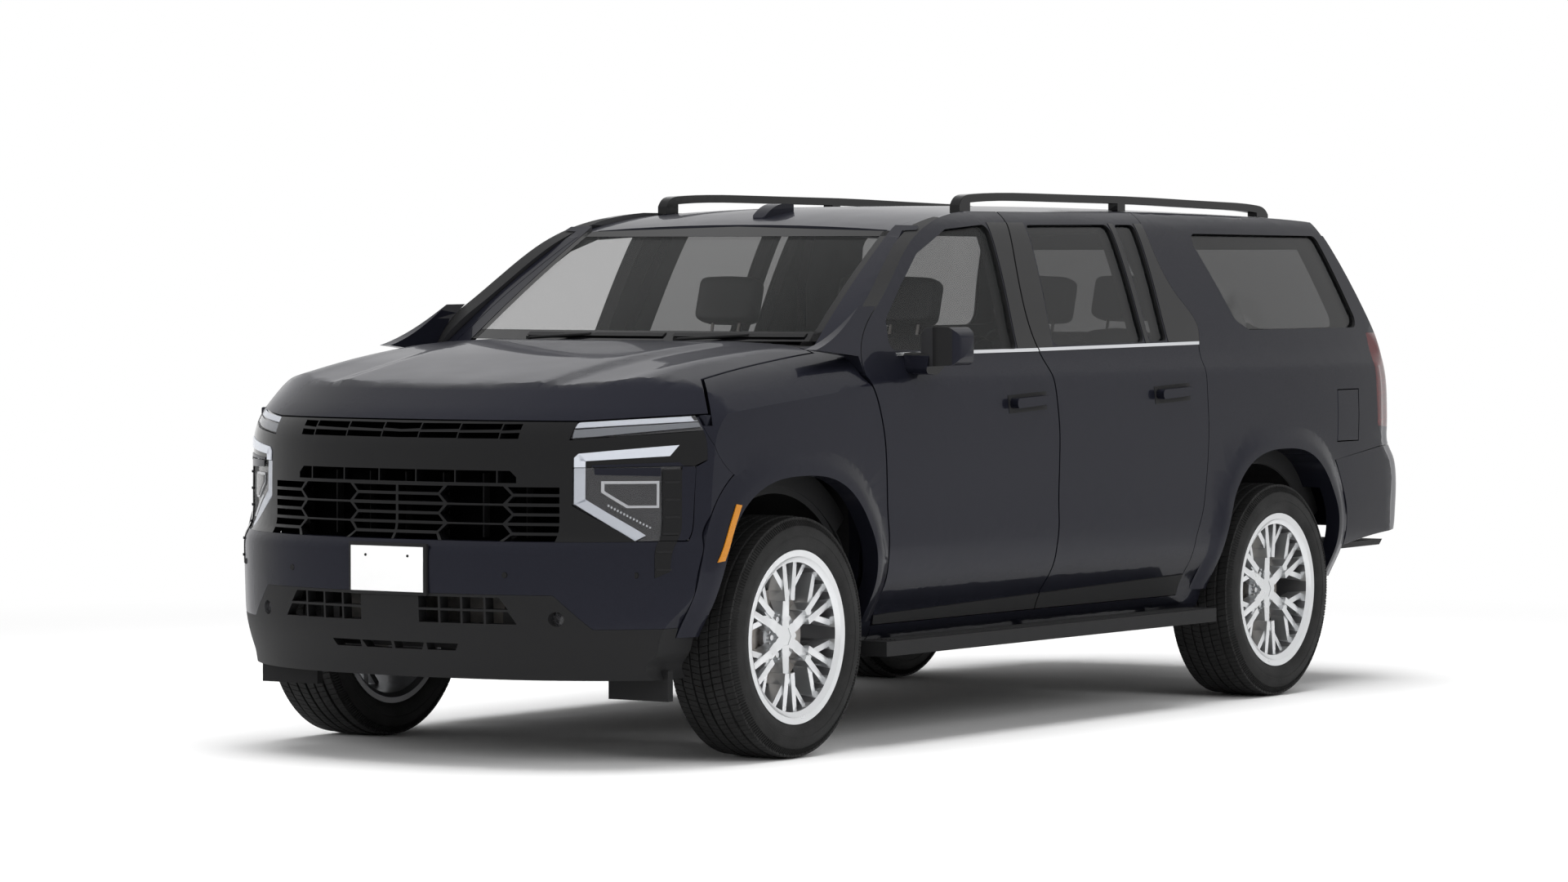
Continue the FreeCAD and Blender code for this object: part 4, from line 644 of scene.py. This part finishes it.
CURTAIN = [("headlamps", [(0.874, 0.768), (0.872, 1.006), (0.916, 1.006), (0.916, 0.768)]),
           ("front_bumper", [(0.874, 0.645), (0.874, 0.766), (0.916, 0.766), (0.908, 0.665)])]
LAMP_EDGE = [(0.916, 0.766), (0.916, 1.02), (0.95, 1.02), (0.95, 0.766)]
SLATS, SLAT_FOOT, SLAT_PITCH = 6, 0.67, 0.058
LAMP_FOOT = 0.768
MARKER = [(-2.262, 0.884), (-2.236, 0.880), (-2.336, 0.697), (-2.369, 0.693)]
TAIL_BARS = ((1.045, 1.060), (1.100, 1.112), (1.160, 1.172), (1.220, 1.232), (1.280, 1.292), (1.345, 1.362))


def lamp_layer(name, outline, side, lift, depth, look=None, node="headlamps", slot="lamp"):
    """Layer seen from the front on one side's lamp or on the skin round it."""
    patch(name, node, "front", [(u * side, v) for u, v in outline], slot, lift, depth,
          shade(look) if look else None)


class SUV_OT_lamps(bpy.types.Operator):
    """Head lamps with bright C bars in a dark housing, upper strips, side markers and tail lamps"""
    bl_idname = "suv.lamps"
    bl_label = "Lamps"

    def execute(self, context):
        sunk_housing()
        for name, side in SIDES:
            for part, outline in C_LAMP.items():
                lamp_layer("lamp_%s_%s" % (part, name), outline, side, -0.007, 0.004, "day_light")
            for part, outline in C_ARM.items():
                lamp_layer("lamp_%s_%s" % (part, name), outline, side, 0.0, 0.004, "day_light", "grille")
            for k, (node, outline) in enumerate(FINS):
                lamp_layer("lamp_fin_%s_%d" % (name, k), outline, side, 0.0, 0.003, None, node, "paint")
            for part, outline in UPPER.items():
                lamp_layer("upper_%s_%s" % (part, name), outline, side, -0.006, 0.003,
                           "day_light" if part == "bar" else "crystal")
            lamp_layer("module_ring_" + name, MODULE, side, -0.011, 0.004, "bright_strip")
            lamp_layer("module_" + name, MODULE_INSIDE, side, -0.007, 0.002, "lamp_dark", slot="paint_black")
            beads(name, side)
            air_curtain(name, side)
            patch("marker_" + name, "front_fenders", name, MARKER, "lamp", depth=0.004,
                  material=shade("amber"))
        lens("head_lens", "headlamps")
        lens("tail_lens", "tail_lamps")
        tail_lamps()
        return {"FINISHED"}


def air_curtain(name, side):
    """Black slatted inlet outboard of the lamp, and the painted edge beyond it."""
    for k, (node, outline) in enumerate(CURTAIN):
        lamp_layer("inlet_%s_%d" % (name, k), outline, side, 0.0, 0.003, None, node, "paint_black")
    for k in range(SLATS):
        z = SLAT_FOOT + k * SLAT_PITCH
        node = "front_bumper" if z < LAMP_FOOT else "headlamps"
        outline = [(0.876, z), (0.876, z + 0.007), (0.912, z + 0.007), (0.912, z)]
        lamp_layer("inlet_slat_%s_%d" % (name, k), outline, side, 0.003, 0.003, None, node, "trim_black")
    lamp_layer("lamp_edge_" + name, LAMP_EDGE, side, 0.0, 0.003, slot="paint")


def sunk_housing():
    """Dark housing behind the lamps' lenses."""
    bm = merged("headlamps")
    bm.normal_update()
    for vert in bm.verts:
        if vert.normal.y < -0.2:
            vert.co += Vector((0, 0.016, 0))
    obj = piece("lamp_housing", bm, "lamp", "root", shade("lamp_dark"), 30)
    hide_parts("headlamps")
    bm = merged("tail_lamps")
    bm.normal_update()
    for vert in bm.verts:
        vert.co -= vert.normal * 0.010 if vert.normal.y > 0.2 or abs(vert.normal.x) > 0.5 else Vector()
    obj = piece("tail_housing", bm, "tail_lamp", "root", None, 30)
    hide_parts("tail_lamps")


def lens(name, node):
    """Thin clear cover over every lamp of a node."""
    bm = merged(node)
    bm.normal_update()
    front = node == "headlamps"
    waste = [f for f in bm.faces
             if (f.normal.y > -0.3 if front else f.normal.y < 0.25 and abs(f.normal.x) < 0.6)]
    bmesh.ops.delete(bm, geom=waste, context="FACES")
    bm.normal_update()
    bmesh.ops.solidify(bm, geom=bm.faces[:], thickness=0.0015)
    bmesh.ops.recalc_face_normals(bm, faces=bm.faces[:])
    slot, look = ("lamp", "clear_cover") if front else ("tail_lamp", "red_cover")
    piece(name, bm, slot, "root", shade(look), 30)


def beads(name, side):
    """Row of small round lights under the main module."""
    (x0, z0), (x1, z1) = BEAD_LINE
    whole = bmesh.new()
    for k in range(BEADS):
        t = k / (BEADS - 1)
        place = on_skin("headlamps", "front", (x0 + (x1 - x0) * t) * side, z0 + (z1 - z0) * t)
        bead = bmesh.new()
        bmesh.ops.create_uvsphere(bead, u_segments=12, v_segments=8, radius=0.005)
        bmesh.ops.scale(bead, vec=(1, 0.6, 1), verts=bead.verts)
        bmesh.ops.translate(bead, vec=place + Vector((0, 0.010, 0)), verts=bead.verts)
        join(whole, bead)
    piece("lamp_beads_" + name, whole, "lamp", "root", shade("bright_strip"))


TREES = {}


def on_skin(node, view, u, v):
    """Place where a line along the view direction first meets a node."""
    if node not in TREES:
        bm = merged(node)
        TREES[node] = BVHTree.FromBMesh(bm)
        bm.free()
    facing, place = VIEWS[view]
    hit = TREES[node].ray_cast(place(u, v) + facing * 5, -facing)[0]
    if hit is None:
        raise RuntimeError("no skin of %s at %.3f %.3f" % (node, u, v))
    return hit


def tail_lamps():
    """Bright bars inside the rear lamps."""
    for k, (low, high) in enumerate(TAIL_BARS):
        for name, side in SIDES:
            outline = [(0.70 * side, low), (0.70 * side, high), (1.0 * side, high), (1.0 * side, low)]
            patch("tail_bar_%s_%d" % (name, k), "tail_lamps", "back", outline, "tail_lamp",
                  lift=-0.007, depth=0.004, material=shade("red_light"), face=0.2)


# Wheels

AXLES = {"f": -1.874, "r": 1.532}
TRACK_HALF = 0.866
TYRE_RADIUS = 0.415
LUG_ROWS = [(-0.104, 0.036), (-0.060, 0.036), (-0.020, 0.032), (0.020, 0.032), (0.060, 0.036), (0.104, 0.036)]
LUGS = 112
SPOKE_FILL = 0.006
SPOKE_REACH = (0.085, 0.268)
SPOKE_FACE, RIM_FACE = 0.89, 0.905
DISC = [(0.030, 0.07), (0.030, 0.165), (-0.004, 0.165), (-0.004, 0.07)]
SIDEWALL = [(0.116, 0.2935), (0.127, 0.305), (0.134, 0.323), (0.1375, 0.345), (0.1370, 0.3465),
            (0.1385, 0.348), (0.1375, 0.362), (0.134, 0.378), (0.128, 0.392), (0.120, 0.402)]


def repeated(bm, count):
    """Copy a bmesh evenly round the X axis."""
    bmesh.ops.spin(bm, geom=bm.verts[:] + bm.edges[:] + bm.faces[:], cent=(0, 0, 0), axis=(1, 0, 0),
                   angle=2 * math.pi * (count - 1) / count, steps=count - 1, use_duplicate=True)
    return bm


def tyre_mesh():
    """Tyre with shoulder, six rows of blocks and thin sidewall rings, centred on its axle."""
    base = TYRE_RADIUS - 0.009
    across = SIDEWALL + [(0.108, base - 0.001), (0.06, base)]
    profile = [(-x, r) for x, r in across] + [(x, r) for x, r in reversed(across)]
    bm = turned(profile, 144)
    lugs = bmesh.new()
    pitch = 2 * math.pi * TYRE_RADIUS / LUGS
    for k, (x, wide) in enumerate(LUG_ROWS):
        edge = abs(x) > 0.09
        high = TYRE_RADIUS - (0.0035 if edge else 0.0)
        lug = block((x - wide / 2, -pitch * 0.465, base - 0.006), (x + wide / 2, pitch * 0.465, high),
                    0.0012, 1)
        slant = 0.22 if x > 0 else -0.22
        shear = Matrix(((1, 0, 0, 0), (slant, 1, 0, -slant * x), (0, 0, 1, 0), (0, 0, 0, 1)))
        bmesh.ops.transform(lug, matrix=shear, verts=lug.verts)
        bmesh.ops.rotate(lug, cent=(0, 0, 0), matrix=Matrix.Rotation((k % 3) * 0.03, 3, "X"), verts=lug.verts)
        join(lugs, lug)
    join(bm, repeated(lugs, LUGS))
    for side in (-1, 1):
        join(bm, shoulder_ribs(side))
    return bm


def shoulder_ribs(side):
    """Fine ribs that run from the tread down the shoulder."""
    rib = block((-0.0035, -0.0016, -0.014), (0.0035, 0.0016, 0.014), 0.001, 1)
    lean = Matrix.Rotation(-side * math.radians(38), 3, "Y")
    bmesh.ops.rotate(rib, cent=(0, 0, 0), matrix=lean, verts=rib.verts)
    bmesh.ops.translate(rib, vec=(side * 0.1265, 0, 0.394), verts=rib.verts)
    return repeated(rib, LUGS * 2)


class SUV_OT_wheels(bpy.types.Operator):
    """Tyres with tread, bright rims and brake discs"""
    bl_idname = "suv.wheels"
    bl_label = "Wheels"

    def execute(self, context):
        for row, y in AXLES.items():
            for letter, side in (("l", 1), ("r", -1)):
                name = row + letter
                place = Matrix.Translation((TRACK_HALF * side, y, TYRE_RADIUS))
                tyre = piece("tyre_tread_" + name, move(tyre_mesh(), place), "tyre", "wheel_" + name,
                             None, 40)
                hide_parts("tyre_" + name)
                rim = skin_copy("rim_" + name, edge=0.0015)
                fill_spokes(rim, y, side)
                tint(rim, shade("rim_inside"), lambda c, n: c.x * side < RIM_FACE)
                brakes(name, place, side)
        spare()
        return {"FINISHED"}


def fill_spokes(rim, y, side):
    """Fuller spokes: the skin between hub and rim grows outwards."""
    bm = bmesh.new()
    bm.from_mesh(rim.data)
    bm.normal_update()
    for vert in bm.verts:
        reach = math.hypot(vert.co.y - y, vert.co.z - TYRE_RADIUS)
        if SPOKE_REACH[0] < reach < SPOKE_REACH[1] and vert.co.x * side > SPOKE_FACE:
            vert.co += vert.normal * SPOKE_FILL
    bm.to_mesh(rim.data)
    bm.free()


def brakes(name, place, side):
    """Brake disc behind the spokes."""
    disc = turned([(x * side, r) for x, r in DISC], 72)
    piece("brake_disc_" + name, move(disc, place), "steel", "wheel_" + name, None, 40)


SPARE_OUTSIDE = [(0.72, 0.60), (0.95, 0.72), (1, 0.82), (0.92, 0.93), (0.7, 0.99), (0.3, 1)]
SPARE_DISH = [(-0.5, 0.3), (-0.62, 0.6), (0.62, 0.6), (0.55, 0.52), (-0.3, 0.28)]


def spare():
    """Spare tyre under the floor, with its rim."""
    low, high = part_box("spare_wheel")
    middle = (Vector(low) + Vector(high)) / 2
    radius, half = (high[0] - low[0]) / 2, (high[2] - low[2]) / 2
    outside = [(half * x, radius * r) for x, r in SPARE_OUTSIDE]
    profile = [(-x, r) for x, r in outside] + [(x, r) for x, r in reversed(outside)]
    turn = Matrix.Translation(middle) @ Matrix.Rotation(math.pi / 2, 4, "Y")
    tyre = piece("spare_tyre", move(turned(profile, 96), turn), "tyre", "root", None, 50)
    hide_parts("spare_wheel")
    dish = [(half * x, radius * r) for x, r in SPARE_DISH]
    dish = [(-half * 0.72, 0.02)] + dish + [(-half * 0.5, 0.02)]
    piece("spare_rim", move(turned(dish, 64), turn), "rim", "root", finish("frame"), 40)


# Cabin

ROW_FRONT, ROW_MIDDLE, ROW_REAR = -0.640, 0.330, 1.240
SEATS = [(x, y, 0.52) for y in (ROW_FRONT, ROW_MIDDLE) for x in (-0.40, 0.40)]
SEATS += [(x, ROW_REAR, 0.44) for x in (-0.23, 0.23)]


def pad(name, low, high, turn=0.0, pivot=(0, 0, 0), pinch=0.16, crown=0.03):
    """Leather cushion: a crowned closed form whose sides pull in between its corners."""
    bm = bmesh.new()
    bmesh.ops.create_cube(bm, size=1.0)
    bmesh.ops.subdivide_edges(bm, edges=bm.edges[:], cuts=3, use_grid_fill=True)
    low, high = Vector(low), Vector(high)
    size, middle = high - low, (low + high) / 2
    for vert in bm.verts:
        u, v, w = vert.co * 2
        vert.co = Vector((u * (1 - 0.05 * v * v), v * (1 - 0.05 * u * u),
                          w * (1 - 0.25 * (u * u + v * v) * pinch)))
        if abs(abs(u) - 0.5) < 0.01 and w > 0.9:
            vert.co.z -= crown
        vert.co = Vector([vert.co[k] * size[k] / 2 + middle[k] for k in range(3)])
    if turn:
        bmesh.ops.rotate(bm, cent=pivot, matrix=Matrix.Rotation(turn, 3, "X"), verts=bm.verts)
    obj = piece(name, bm, "seat", "root", None, 180)
    smooth = obj.modifiers.new("round", "SUBSURF")
    smooth.levels = smooth.render_levels = 2
    return obj


class SUV_OT_cabin(bpy.types.Operator):
    """Three rows of leather seats, instrument panel with screen and vents, and the steering wheel"""
    bl_idname = "suv.cabin"
    bl_label = "Cabin"

    def execute(self, context):
        pads = []
        for k, (x, y, width) in enumerate(SEATS):
            pads += seat("seat_%d" % k, x, y, width)
        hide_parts("seats")
        skin_copy("dashboard", edge=0.012)
        skin_copy("steering_wheel", edge=0.002)
        screen()
        return {"FINISHED"}


SEAT_FLOOR = 0.5605
RECLINE = math.radians(-16)


def seat(name, x, y, width):
    """One seat: plastic base, cushion and back with their bolsters, and a head restraint on two posts."""
    half = width / 2
    foot = (0, y + 0.13, SEAT_FLOOR + 0.278)
    base = block((x - half * 0.7, y - 0.19, SEAT_FLOOR), (x + half * 0.7, y + 0.19, SEAT_FLOOR + 0.21),
                 0.02)
    piece(name + "_base", base, "cabin", "root")
    pads = [pad(name + "_cushion", (x - half + 0.06, y - 0.25, 0.765), (x + half - 0.06, y + 0.24, 0.895)),
            pad(name + "_back", (x - half + 0.06, foot[1] + 0.02, foot[2]),
                (x + half - 0.06, foot[1] + 0.13, foot[2] + 0.64), RECLINE, foot),
            pad(name + "_head", (x - 0.13, foot[1] + 0.02, foot[2] + 0.67),
                (x + 0.13, foot[1] + 0.115, foot[2] + 0.85), RECLINE, foot)]
    for side in (-1, 1):
        edge = x + side * (half - 0.045)
        pads.append(pad(name + "_side%d" % side, (edge - 0.04, y - 0.25, 0.768),
                        (edge + 0.04, y + 0.23, 0.915)))
        pads.append(pad(name + "_wing%d" % side, (edge - 0.04, foot[1], foot[2] + 0.02),
                        (edge + 0.04, foot[1] + 0.13, foot[2] + 0.60), RECLINE, foot))
        post = turned([(0.56, 0.0), (0.56, 0.006), (0.72, 0.006), (0.72, 0.0)], 16, False)
        lean = (Matrix.Translation((x + side * 0.06, foot[1], foot[2]))
                @ Matrix.Rotation(RECLINE, 4, "X"))
        upright = Matrix.Translation((0, 0.068, 0)) @ Matrix.Rotation(-math.pi / 2, 4, "Y")
        piece(name + "_post%d" % side, move(post, lean @ upright), "steel", "root")
    return pads


SCREENS = {"centre_screen": ((-0.22, -1.050, 1.175), (0.20, -1.030, 1.365)),
           "cluster": ((0.25, -1.062, 1.215), (0.55, -1.040, 1.345))}
VENTS = ((-0.74, 1.205), (0.74, 1.205))


def screen():
    """Display, instrument cluster and side air outlets."""
    for name, (low, high) in SCREENS.items():
        piece(name, block(low, high, 0.006), "cabin", "root", shade("screen_glass"))
    for k, (x, z) in enumerate(VENTS):
        slats = gather([block((x - 0.055, -1.045, z + dz - 0.003), (x + 0.055, -1.0, z + dz + 0.003),
                              0.0012, 1) for dz in (-0.03, -0.015, 0.0, 0.015, 0.03)])
        piece("vent_%d" % k, slats, "cabin", "root")


# Trim, plates and small parts

SMOOTHED = {"grille": 0.0022, "front_valance": 0.003, "cowl": 0.002, "roof_rails": 0.005,
            "running_boards": 0.006, "exhaust": 0.001, "wipers": 0.001, "tow_receiver": 0.002,
            "engine_block": 0.012}
PLATE_SIZE = (0.305, 0.152)
FRONT_PLATE_Z = 0.666
REAR_PLATE_Z = 1.105
SENSORS = ((0.45, 0.655), (0.83, 0.655))
GRILLE_HALF, GRILLE_MIDDLE, GRILLE_TALL = 0.70, 0.96, 0.40
# Depth of the painted-shade sheet behind the grille's face
SHADE_SHEET_DEPTH = 0.085
RIBS = 9


def front_curve(x):
    """Y of the front face at a distance from the centre line."""
    return -2.820 + 0.184 * x * x + 0.301 * x ** 4


class SUV_OT_trim(bpy.types.Operator):
    """Grille, valance, rails, boards, wipers and exhaust with softened edges"""
    bl_idname = "suv.trim"
    bl_label = "Trim"

    def execute(self, context):
        for node, edge in SMOOTHED.items():
            skin_copy(node, edge=edge)
        shade_sheet_behind_grille()
        corner_fillers()
        wheel_house_collars()
        board_treads()
        return {"FINISHED"}


def shade_sheet_behind_grille():
    """Unlit black sheet that paints the shade behind the grille's openings, with fine ribs in front of it."""
    bm = bmesh.new()
    bmesh.ops.create_grid(bm, x_segments=40, y_segments=4, size=0.5)
    for vert in bm.verts:
        x, z = vert.co.x * 2 * GRILLE_HALF, GRILLE_MIDDLE + vert.co.y * GRILLE_TALL
        vert.co = Vector((x, front_curve(x) + SHADE_SHEET_DEPTH, z))
    bmesh.ops.solidify(bm, geom=bm.faces[:], thickness=0.003)
    bmesh.ops.recalc_face_normals(bm, faces=bm.faces[:])
    piece("grille_painted_shade", bm, "trim_black", "root", shade("grille_dark"))
    ribs = [block((x - 0.002, front_curve(x) + 0.045, 0.775), (x + 0.002, front_curve(x) + 0.080, 0.99),
                  0.0008, 1)
            for x in [(k - (RIBS - 1) / 2) * 2 * GRILLE_HALF / RIBS for k in range(RIBS)]]
    piece("grille_ribs", gather(ribs), "trim_black", "root")


def corner_fillers():
    """Painted corner between lamp, fender and hood."""
    for name, side in SIDES:
        corner = block((0.880, -2.368, 1.120), (0.954, -2.300, 1.186), 0.006)
        if side < 0:
            move(corner, Matrix.Scale(-1, 4, (1, 0, 0)))
        piece("corner_filler_" + name, corner, "paint", "root")


def wheel_house_collars():
    """Black collars that close the gap between each wheel liner and the body's arch."""
    inner, outer, near, far = 0.490, 0.600, 0.880, 0.886
    for row, y in AXLES.items():
        first, last = (0.50, 2.45) if row == "r" else (0.70, 2.45)
        for name, side in SIDES:
            bm = bmesh.new()
            corners = [bm.verts.new((x * side, y + r * math.cos(first), TYRE_RADIUS + r * math.sin(first)))
                       for x, r in ((near, inner), (far, inner), (far, outer), (near, outer))]
            face = bm.faces.new(corners)
            bmesh.ops.spin(bm, geom=[face], cent=(0, y, TYRE_RADIUS), axis=(1, 0, 0), angle=last - first,
                           steps=40)
            bmesh.ops.recalc_face_normals(bm, faces=bm.faces[:])
            piece("arch_collar_%s_%s" % (row, name), bm, "trim_black", "root")


def board_treads():
    """Rows of rubber ribs on the running boards."""
    for name, side in SIDES:
        top = on_skin("running_boards", "top", 1.0 * side, -0.2).z
        ribs = [block((0.945 + k * 0.018, -1.30, top - 0.001), (0.953 + k * 0.018, 0.86, top + 0.0025),
                      0.001, 1) for k in range(5)]
        whole = gather(ribs)
        if side < 0:
            move(whole, Matrix.Scale(-1, 4, (1, 0, 0)))
        piece("board_tread_" + name, whole, "trim_black", "root")


class SUV_OT_plates(bpy.types.Operator):
    """Blank plates front and rear, their base, and the parking sensors"""
    bl_idname = "suv.plates"
    bl_label = "Plates and sensors"

    def execute(self, context):
        wide, tall = PLATE_SIZE[0] / 2, PLATE_SIZE[1] / 2
        z = FRONT_PLATE_Z
        face = on_skin("front_bumper", "front", 0.0, z).y
        base = block((-wide - 0.012, face - 0.006, z - tall - 0.012),
                     (wide + 0.012, face + 0.010, z + tall + 0.012), 0.004)
        piece("plate_base", base, "trim_black", "root")
        piece("front_plate", block((-wide, face - 0.009, z - tall), (wide, face - 0.006, z + tall), 0.001),
              "trim_black", "root", shade("plate_white"))
        outline = [(-wide, REAR_PLATE_Z - tall), (-wide, REAR_PLATE_Z + tall), (wide, REAR_PLATE_Z + tall),
                   (wide, REAR_PLATE_Z - tall)]
        patch("rear_plate", "liftgate", "back", outline, "trim_black", lift=0.003, depth=0.002,
              material=shade("plate_white"))
        bolts()
        sensors()
        return {"FINISHED"}


def stud(place, radius, height, facing):
    """Flat round stud on a face."""
    bm = bmesh.new()
    bmesh.ops.create_cone(bm, cap_ends=True, segments=24, radius1=radius, radius2=radius * 0.9, depth=height)
    turn = Vector(facing).to_track_quat("Z", "Y").to_matrix().to_4x4()
    return move(bm, Matrix.Translation(place) @ turn)


def bolts():
    """Dark bolt heads of the front plate."""
    face = on_skin("front_bumper", "front", 0.0, FRONT_PLATE_Z).y - 0.0095
    heads = [stud((x, face, FRONT_PLATE_Z + 0.045), 0.005, 0.003, (0, -1, 0)) for x in (-0.0889, 0.0889)]
    piece("plate_bolts", gather(heads), "trim_black", "root")


def sensors():
    """Round parking sensors flush in the front bumper."""
    for name, side in SIDES:
        discs = [stud(on_skin("front_bumper", "front", x * side, z), 0.011, 0.004, (0.3 * x * side, -1, 0))
                 for x, z in SENSORS]
        piece("sensors_" + name, gather(discs), "paint_black", "root")


# Stage

class SUV_OT_stage(bpy.types.Operator):
    """Floor, light and camera"""
    bl_idname = "suv.stage"
    bl_label = "Stage"

    def execute(self, context):
        floor()
        world()
        lamps()
        camera()
        context.scene.view_settings.view_transform = "Standard"
        return {"FINISHED"}


def shown_ray(material_or_world):
    """Factor that is 1 for camera, glossy and transmission rays."""
    path = add_node(material_or_world, "ShaderNodeLightPath")
    first = add_node(material_or_world, "ShaderNodeMath", operation="MAXIMUM")
    second = add_node(material_or_world, "ShaderNodeMath", operation="MAXIMUM")
    link(material_or_world, path.outputs["Is Camera Ray"], first.inputs[0])
    link(material_or_world, path.outputs["Is Glossy Ray"], first.inputs[1])
    link(material_or_world, first.outputs[0], second.inputs[0])
    link(material_or_world, path.outputs["Is Transmission Ray"], second.inputs[1])
    return second.outputs[0]


FLOOR_FADE = (3.6, 8.0)


def floor():
    """Pale floor that fades into the white background."""
    bm = bmesh.new()
    bmesh.ops.create_circle(bm, cap_ends=True, segments=96, radius=60)
    mesh = bpy.data.meshes.new("floor")
    bm.to_mesh(mesh)
    bm.free()
    obj = bpy.data.objects.new("floor", mesh)
    bpy.context.scene.collection.objects.link(obj)
    obj.location.z = -0.002
    material = bpy.data.materials.new("pale_floor")
    material.use_nodes = True
    tree = material.node_tree
    principled(material).inputs["Base Color"].default_value = (0.93, 0.93, 0.93, 1)
    principled(material).inputs["Roughness"].default_value = 1.0
    principled(material).inputs["Specular IOR Level"].default_value = 0.0
    glow = add_node(material, "ShaderNodeEmission")
    place = add_node(material, "ShaderNodeTexCoord")
    length = add_node(material, "ShaderNodeVectorMath", operation="LENGTH")
    fade = add_node(material, "ShaderNodeMapRange", interpolation_type="SMOOTHSTEP")
    fade.inputs["From Min"].default_value, fade.inputs["From Max"].default_value = FLOOR_FADE
    link(material, place.outputs["Object"], length.inputs[0])
    link(material, length.outputs["Value"], fade.inputs["Value"])
    gate = add_node(material, "ShaderNodeMath", operation="MULTIPLY")
    link(material, fade.outputs["Result"], gate.inputs[0])
    link(material, shown_ray(material), gate.inputs[1])
    mix = add_node(material, "ShaderNodeMixShader")
    link(material, gate.outputs[0], mix.inputs["Fac"])
    link(material, principled(material).outputs[0], mix.inputs[1])
    link(material, glow.outputs[0], mix.inputs[2])
    link(material, mix.outputs[0], tree.nodes["Material Output"].inputs["Surface"])
    obj.data.materials.append(material)


def world():
    """Even daylight that looks white to the camera."""
    stage = bpy.context.scene.suv_stage
    sky = bpy.data.worlds.new("daylight")
    bpy.context.scene.world = sky
    sky.use_nodes = True
    tree = sky.node_tree
    soft = tree.nodes["Background"]
    soft.inputs["Strength"].default_value = stage.daylight
    soft.inputs["Color"].default_value = (1, 1, 1, 1)
    white = add_node(sky, "ShaderNodeBackground")
    white.inputs["Color"].default_value = (1, 1, 1, 1)
    mix = add_node(sky, "ShaderNodeMixShader")
    link(sky, shown_ray(sky), mix.inputs["Fac"])
    link(sky, soft.outputs[0], mix.inputs[1])
    link(sky, white.outputs[0], mix.inputs[2])
    link(sky, mix.outputs[0], tree.nodes["World Output"].inputs["Surface"])


def area_lamp(name, place, aim, width, height, power):
    """Large soft lamp aimed at a point."""
    data = bpy.data.lights.new(name, "AREA")
    data.shape = "RECTANGLE"
    data.size = width
    data.size_y = height
    data.energy = power
    obj = bpy.data.objects.new(name, data)
    bpy.context.scene.collection.objects.link(obj)
    obj.location = place
    obj.rotation_euler = (Vector(aim) - Vector(place)).to_track_quat("-Z", "Y").to_euler()
    obj.visible_glossy = False


def lamps():
    """One large lamp over the roof and a softer one at each side."""
    power = bpy.context.scene.suv_stage.key
    area_lamp("overhead", (0, 0, 7.5), (0, 0, 0), 8, 10, power)
    area_lamp("side_left", (9, -3, 4.5), (0, 0, 0.8), 6, 4, power * 0.35)
    area_lamp("side_front", (-2, -10, 4.0), (0, -1, 0.8), 6, 4, power * 0.25)


CAMERA_ANGLES = (33.6366, 1.8284)
CAMERA_TARGET = (0.0836, -0.5909, 1.0366)
CAMERA_DISTANCE = 21.2118
FOCAL_PIXELS, PHOTO_WIDTH = 7037.29, 1920


def camera():
    """Camera at the photograph's place and angle."""
    azimuth, elevation = [math.radians(angle) for angle in CAMERA_ANGLES]
    back = Vector((math.sin(azimuth) * math.cos(elevation),
                   -math.cos(azimuth) * math.cos(elevation), math.sin(elevation)))
    data = bpy.data.cameras.new("camera")
    obj = bpy.data.objects.new("camera", data)
    bpy.context.scene.collection.objects.link(obj)
    obj.location = Vector(CAMERA_TARGET) + back * CAMERA_DISTANCE
    obj.rotation_euler = (-back).to_track_quat("-Z", "Y").to_euler()
    data.sensor_width = 36.0
    data.lens = FOCAL_PIXELS / PHOTO_WIDTH * data.sensor_width
    data.clip_end = 200
    bpy.context.scene.camera = obj


# Panel and registration

class SUV_PT_sidebar(bpy.types.Panel):
    """Sizes, colours and the pieces in order"""
    bl_idname = "SUV_PT_sidebar"
    bl_label = "Full-size SUV"
    bl_space_type = "VIEW_3D"
    bl_region_type = "UI"
    bl_category = "SUV"

    def draw(self, context):
        layout = self.layout
        for settings in (context.scene.suv_paint, context.scene.suv_stage):
            box = layout.box()
            for prop in settings.bl_rna.properties.keys():
                if prop not in ("rna_type", "name"):
                    box.prop(settings, prop)
        for operator in STEPS:
            layout.operator(operator.bl_idname)


SETTINGS = {"suv_paint": PaintSettings, "suv_stage": StageSettings}
STEPS = [SUV_OT_carried, SUV_OT_panels, SUV_OT_glass, SUV_OT_window_trim, SUV_OT_lamps, SUV_OT_trim,
         SUV_OT_plates, SUV_OT_wheels, SUV_OT_cabin, SUV_OT_stage]
CLASSES = list(SETTINGS.values()) + STEPS + [SUV_PT_sidebar]


def register():
    for cls in CLASSES:
        bpy.utils.register_class(cls)
    for name, cls in SETTINGS.items():
        setattr(bpy.types.Scene, name, PointerProperty(type=cls))


def unregister():
    for name in SETTINGS:
        delattr(bpy.types.Scene, name)
    for cls in reversed(CLASSES):
        bpy.utils.unregister_class(cls)


def main():
    """Build every piece in order."""
    register()
    for operator in STEPS:
        group, verb = operator.bl_idname.split(".")
        getattr(getattr(bpy.ops, group), verb)()


if __name__ == "__main__":
    main()
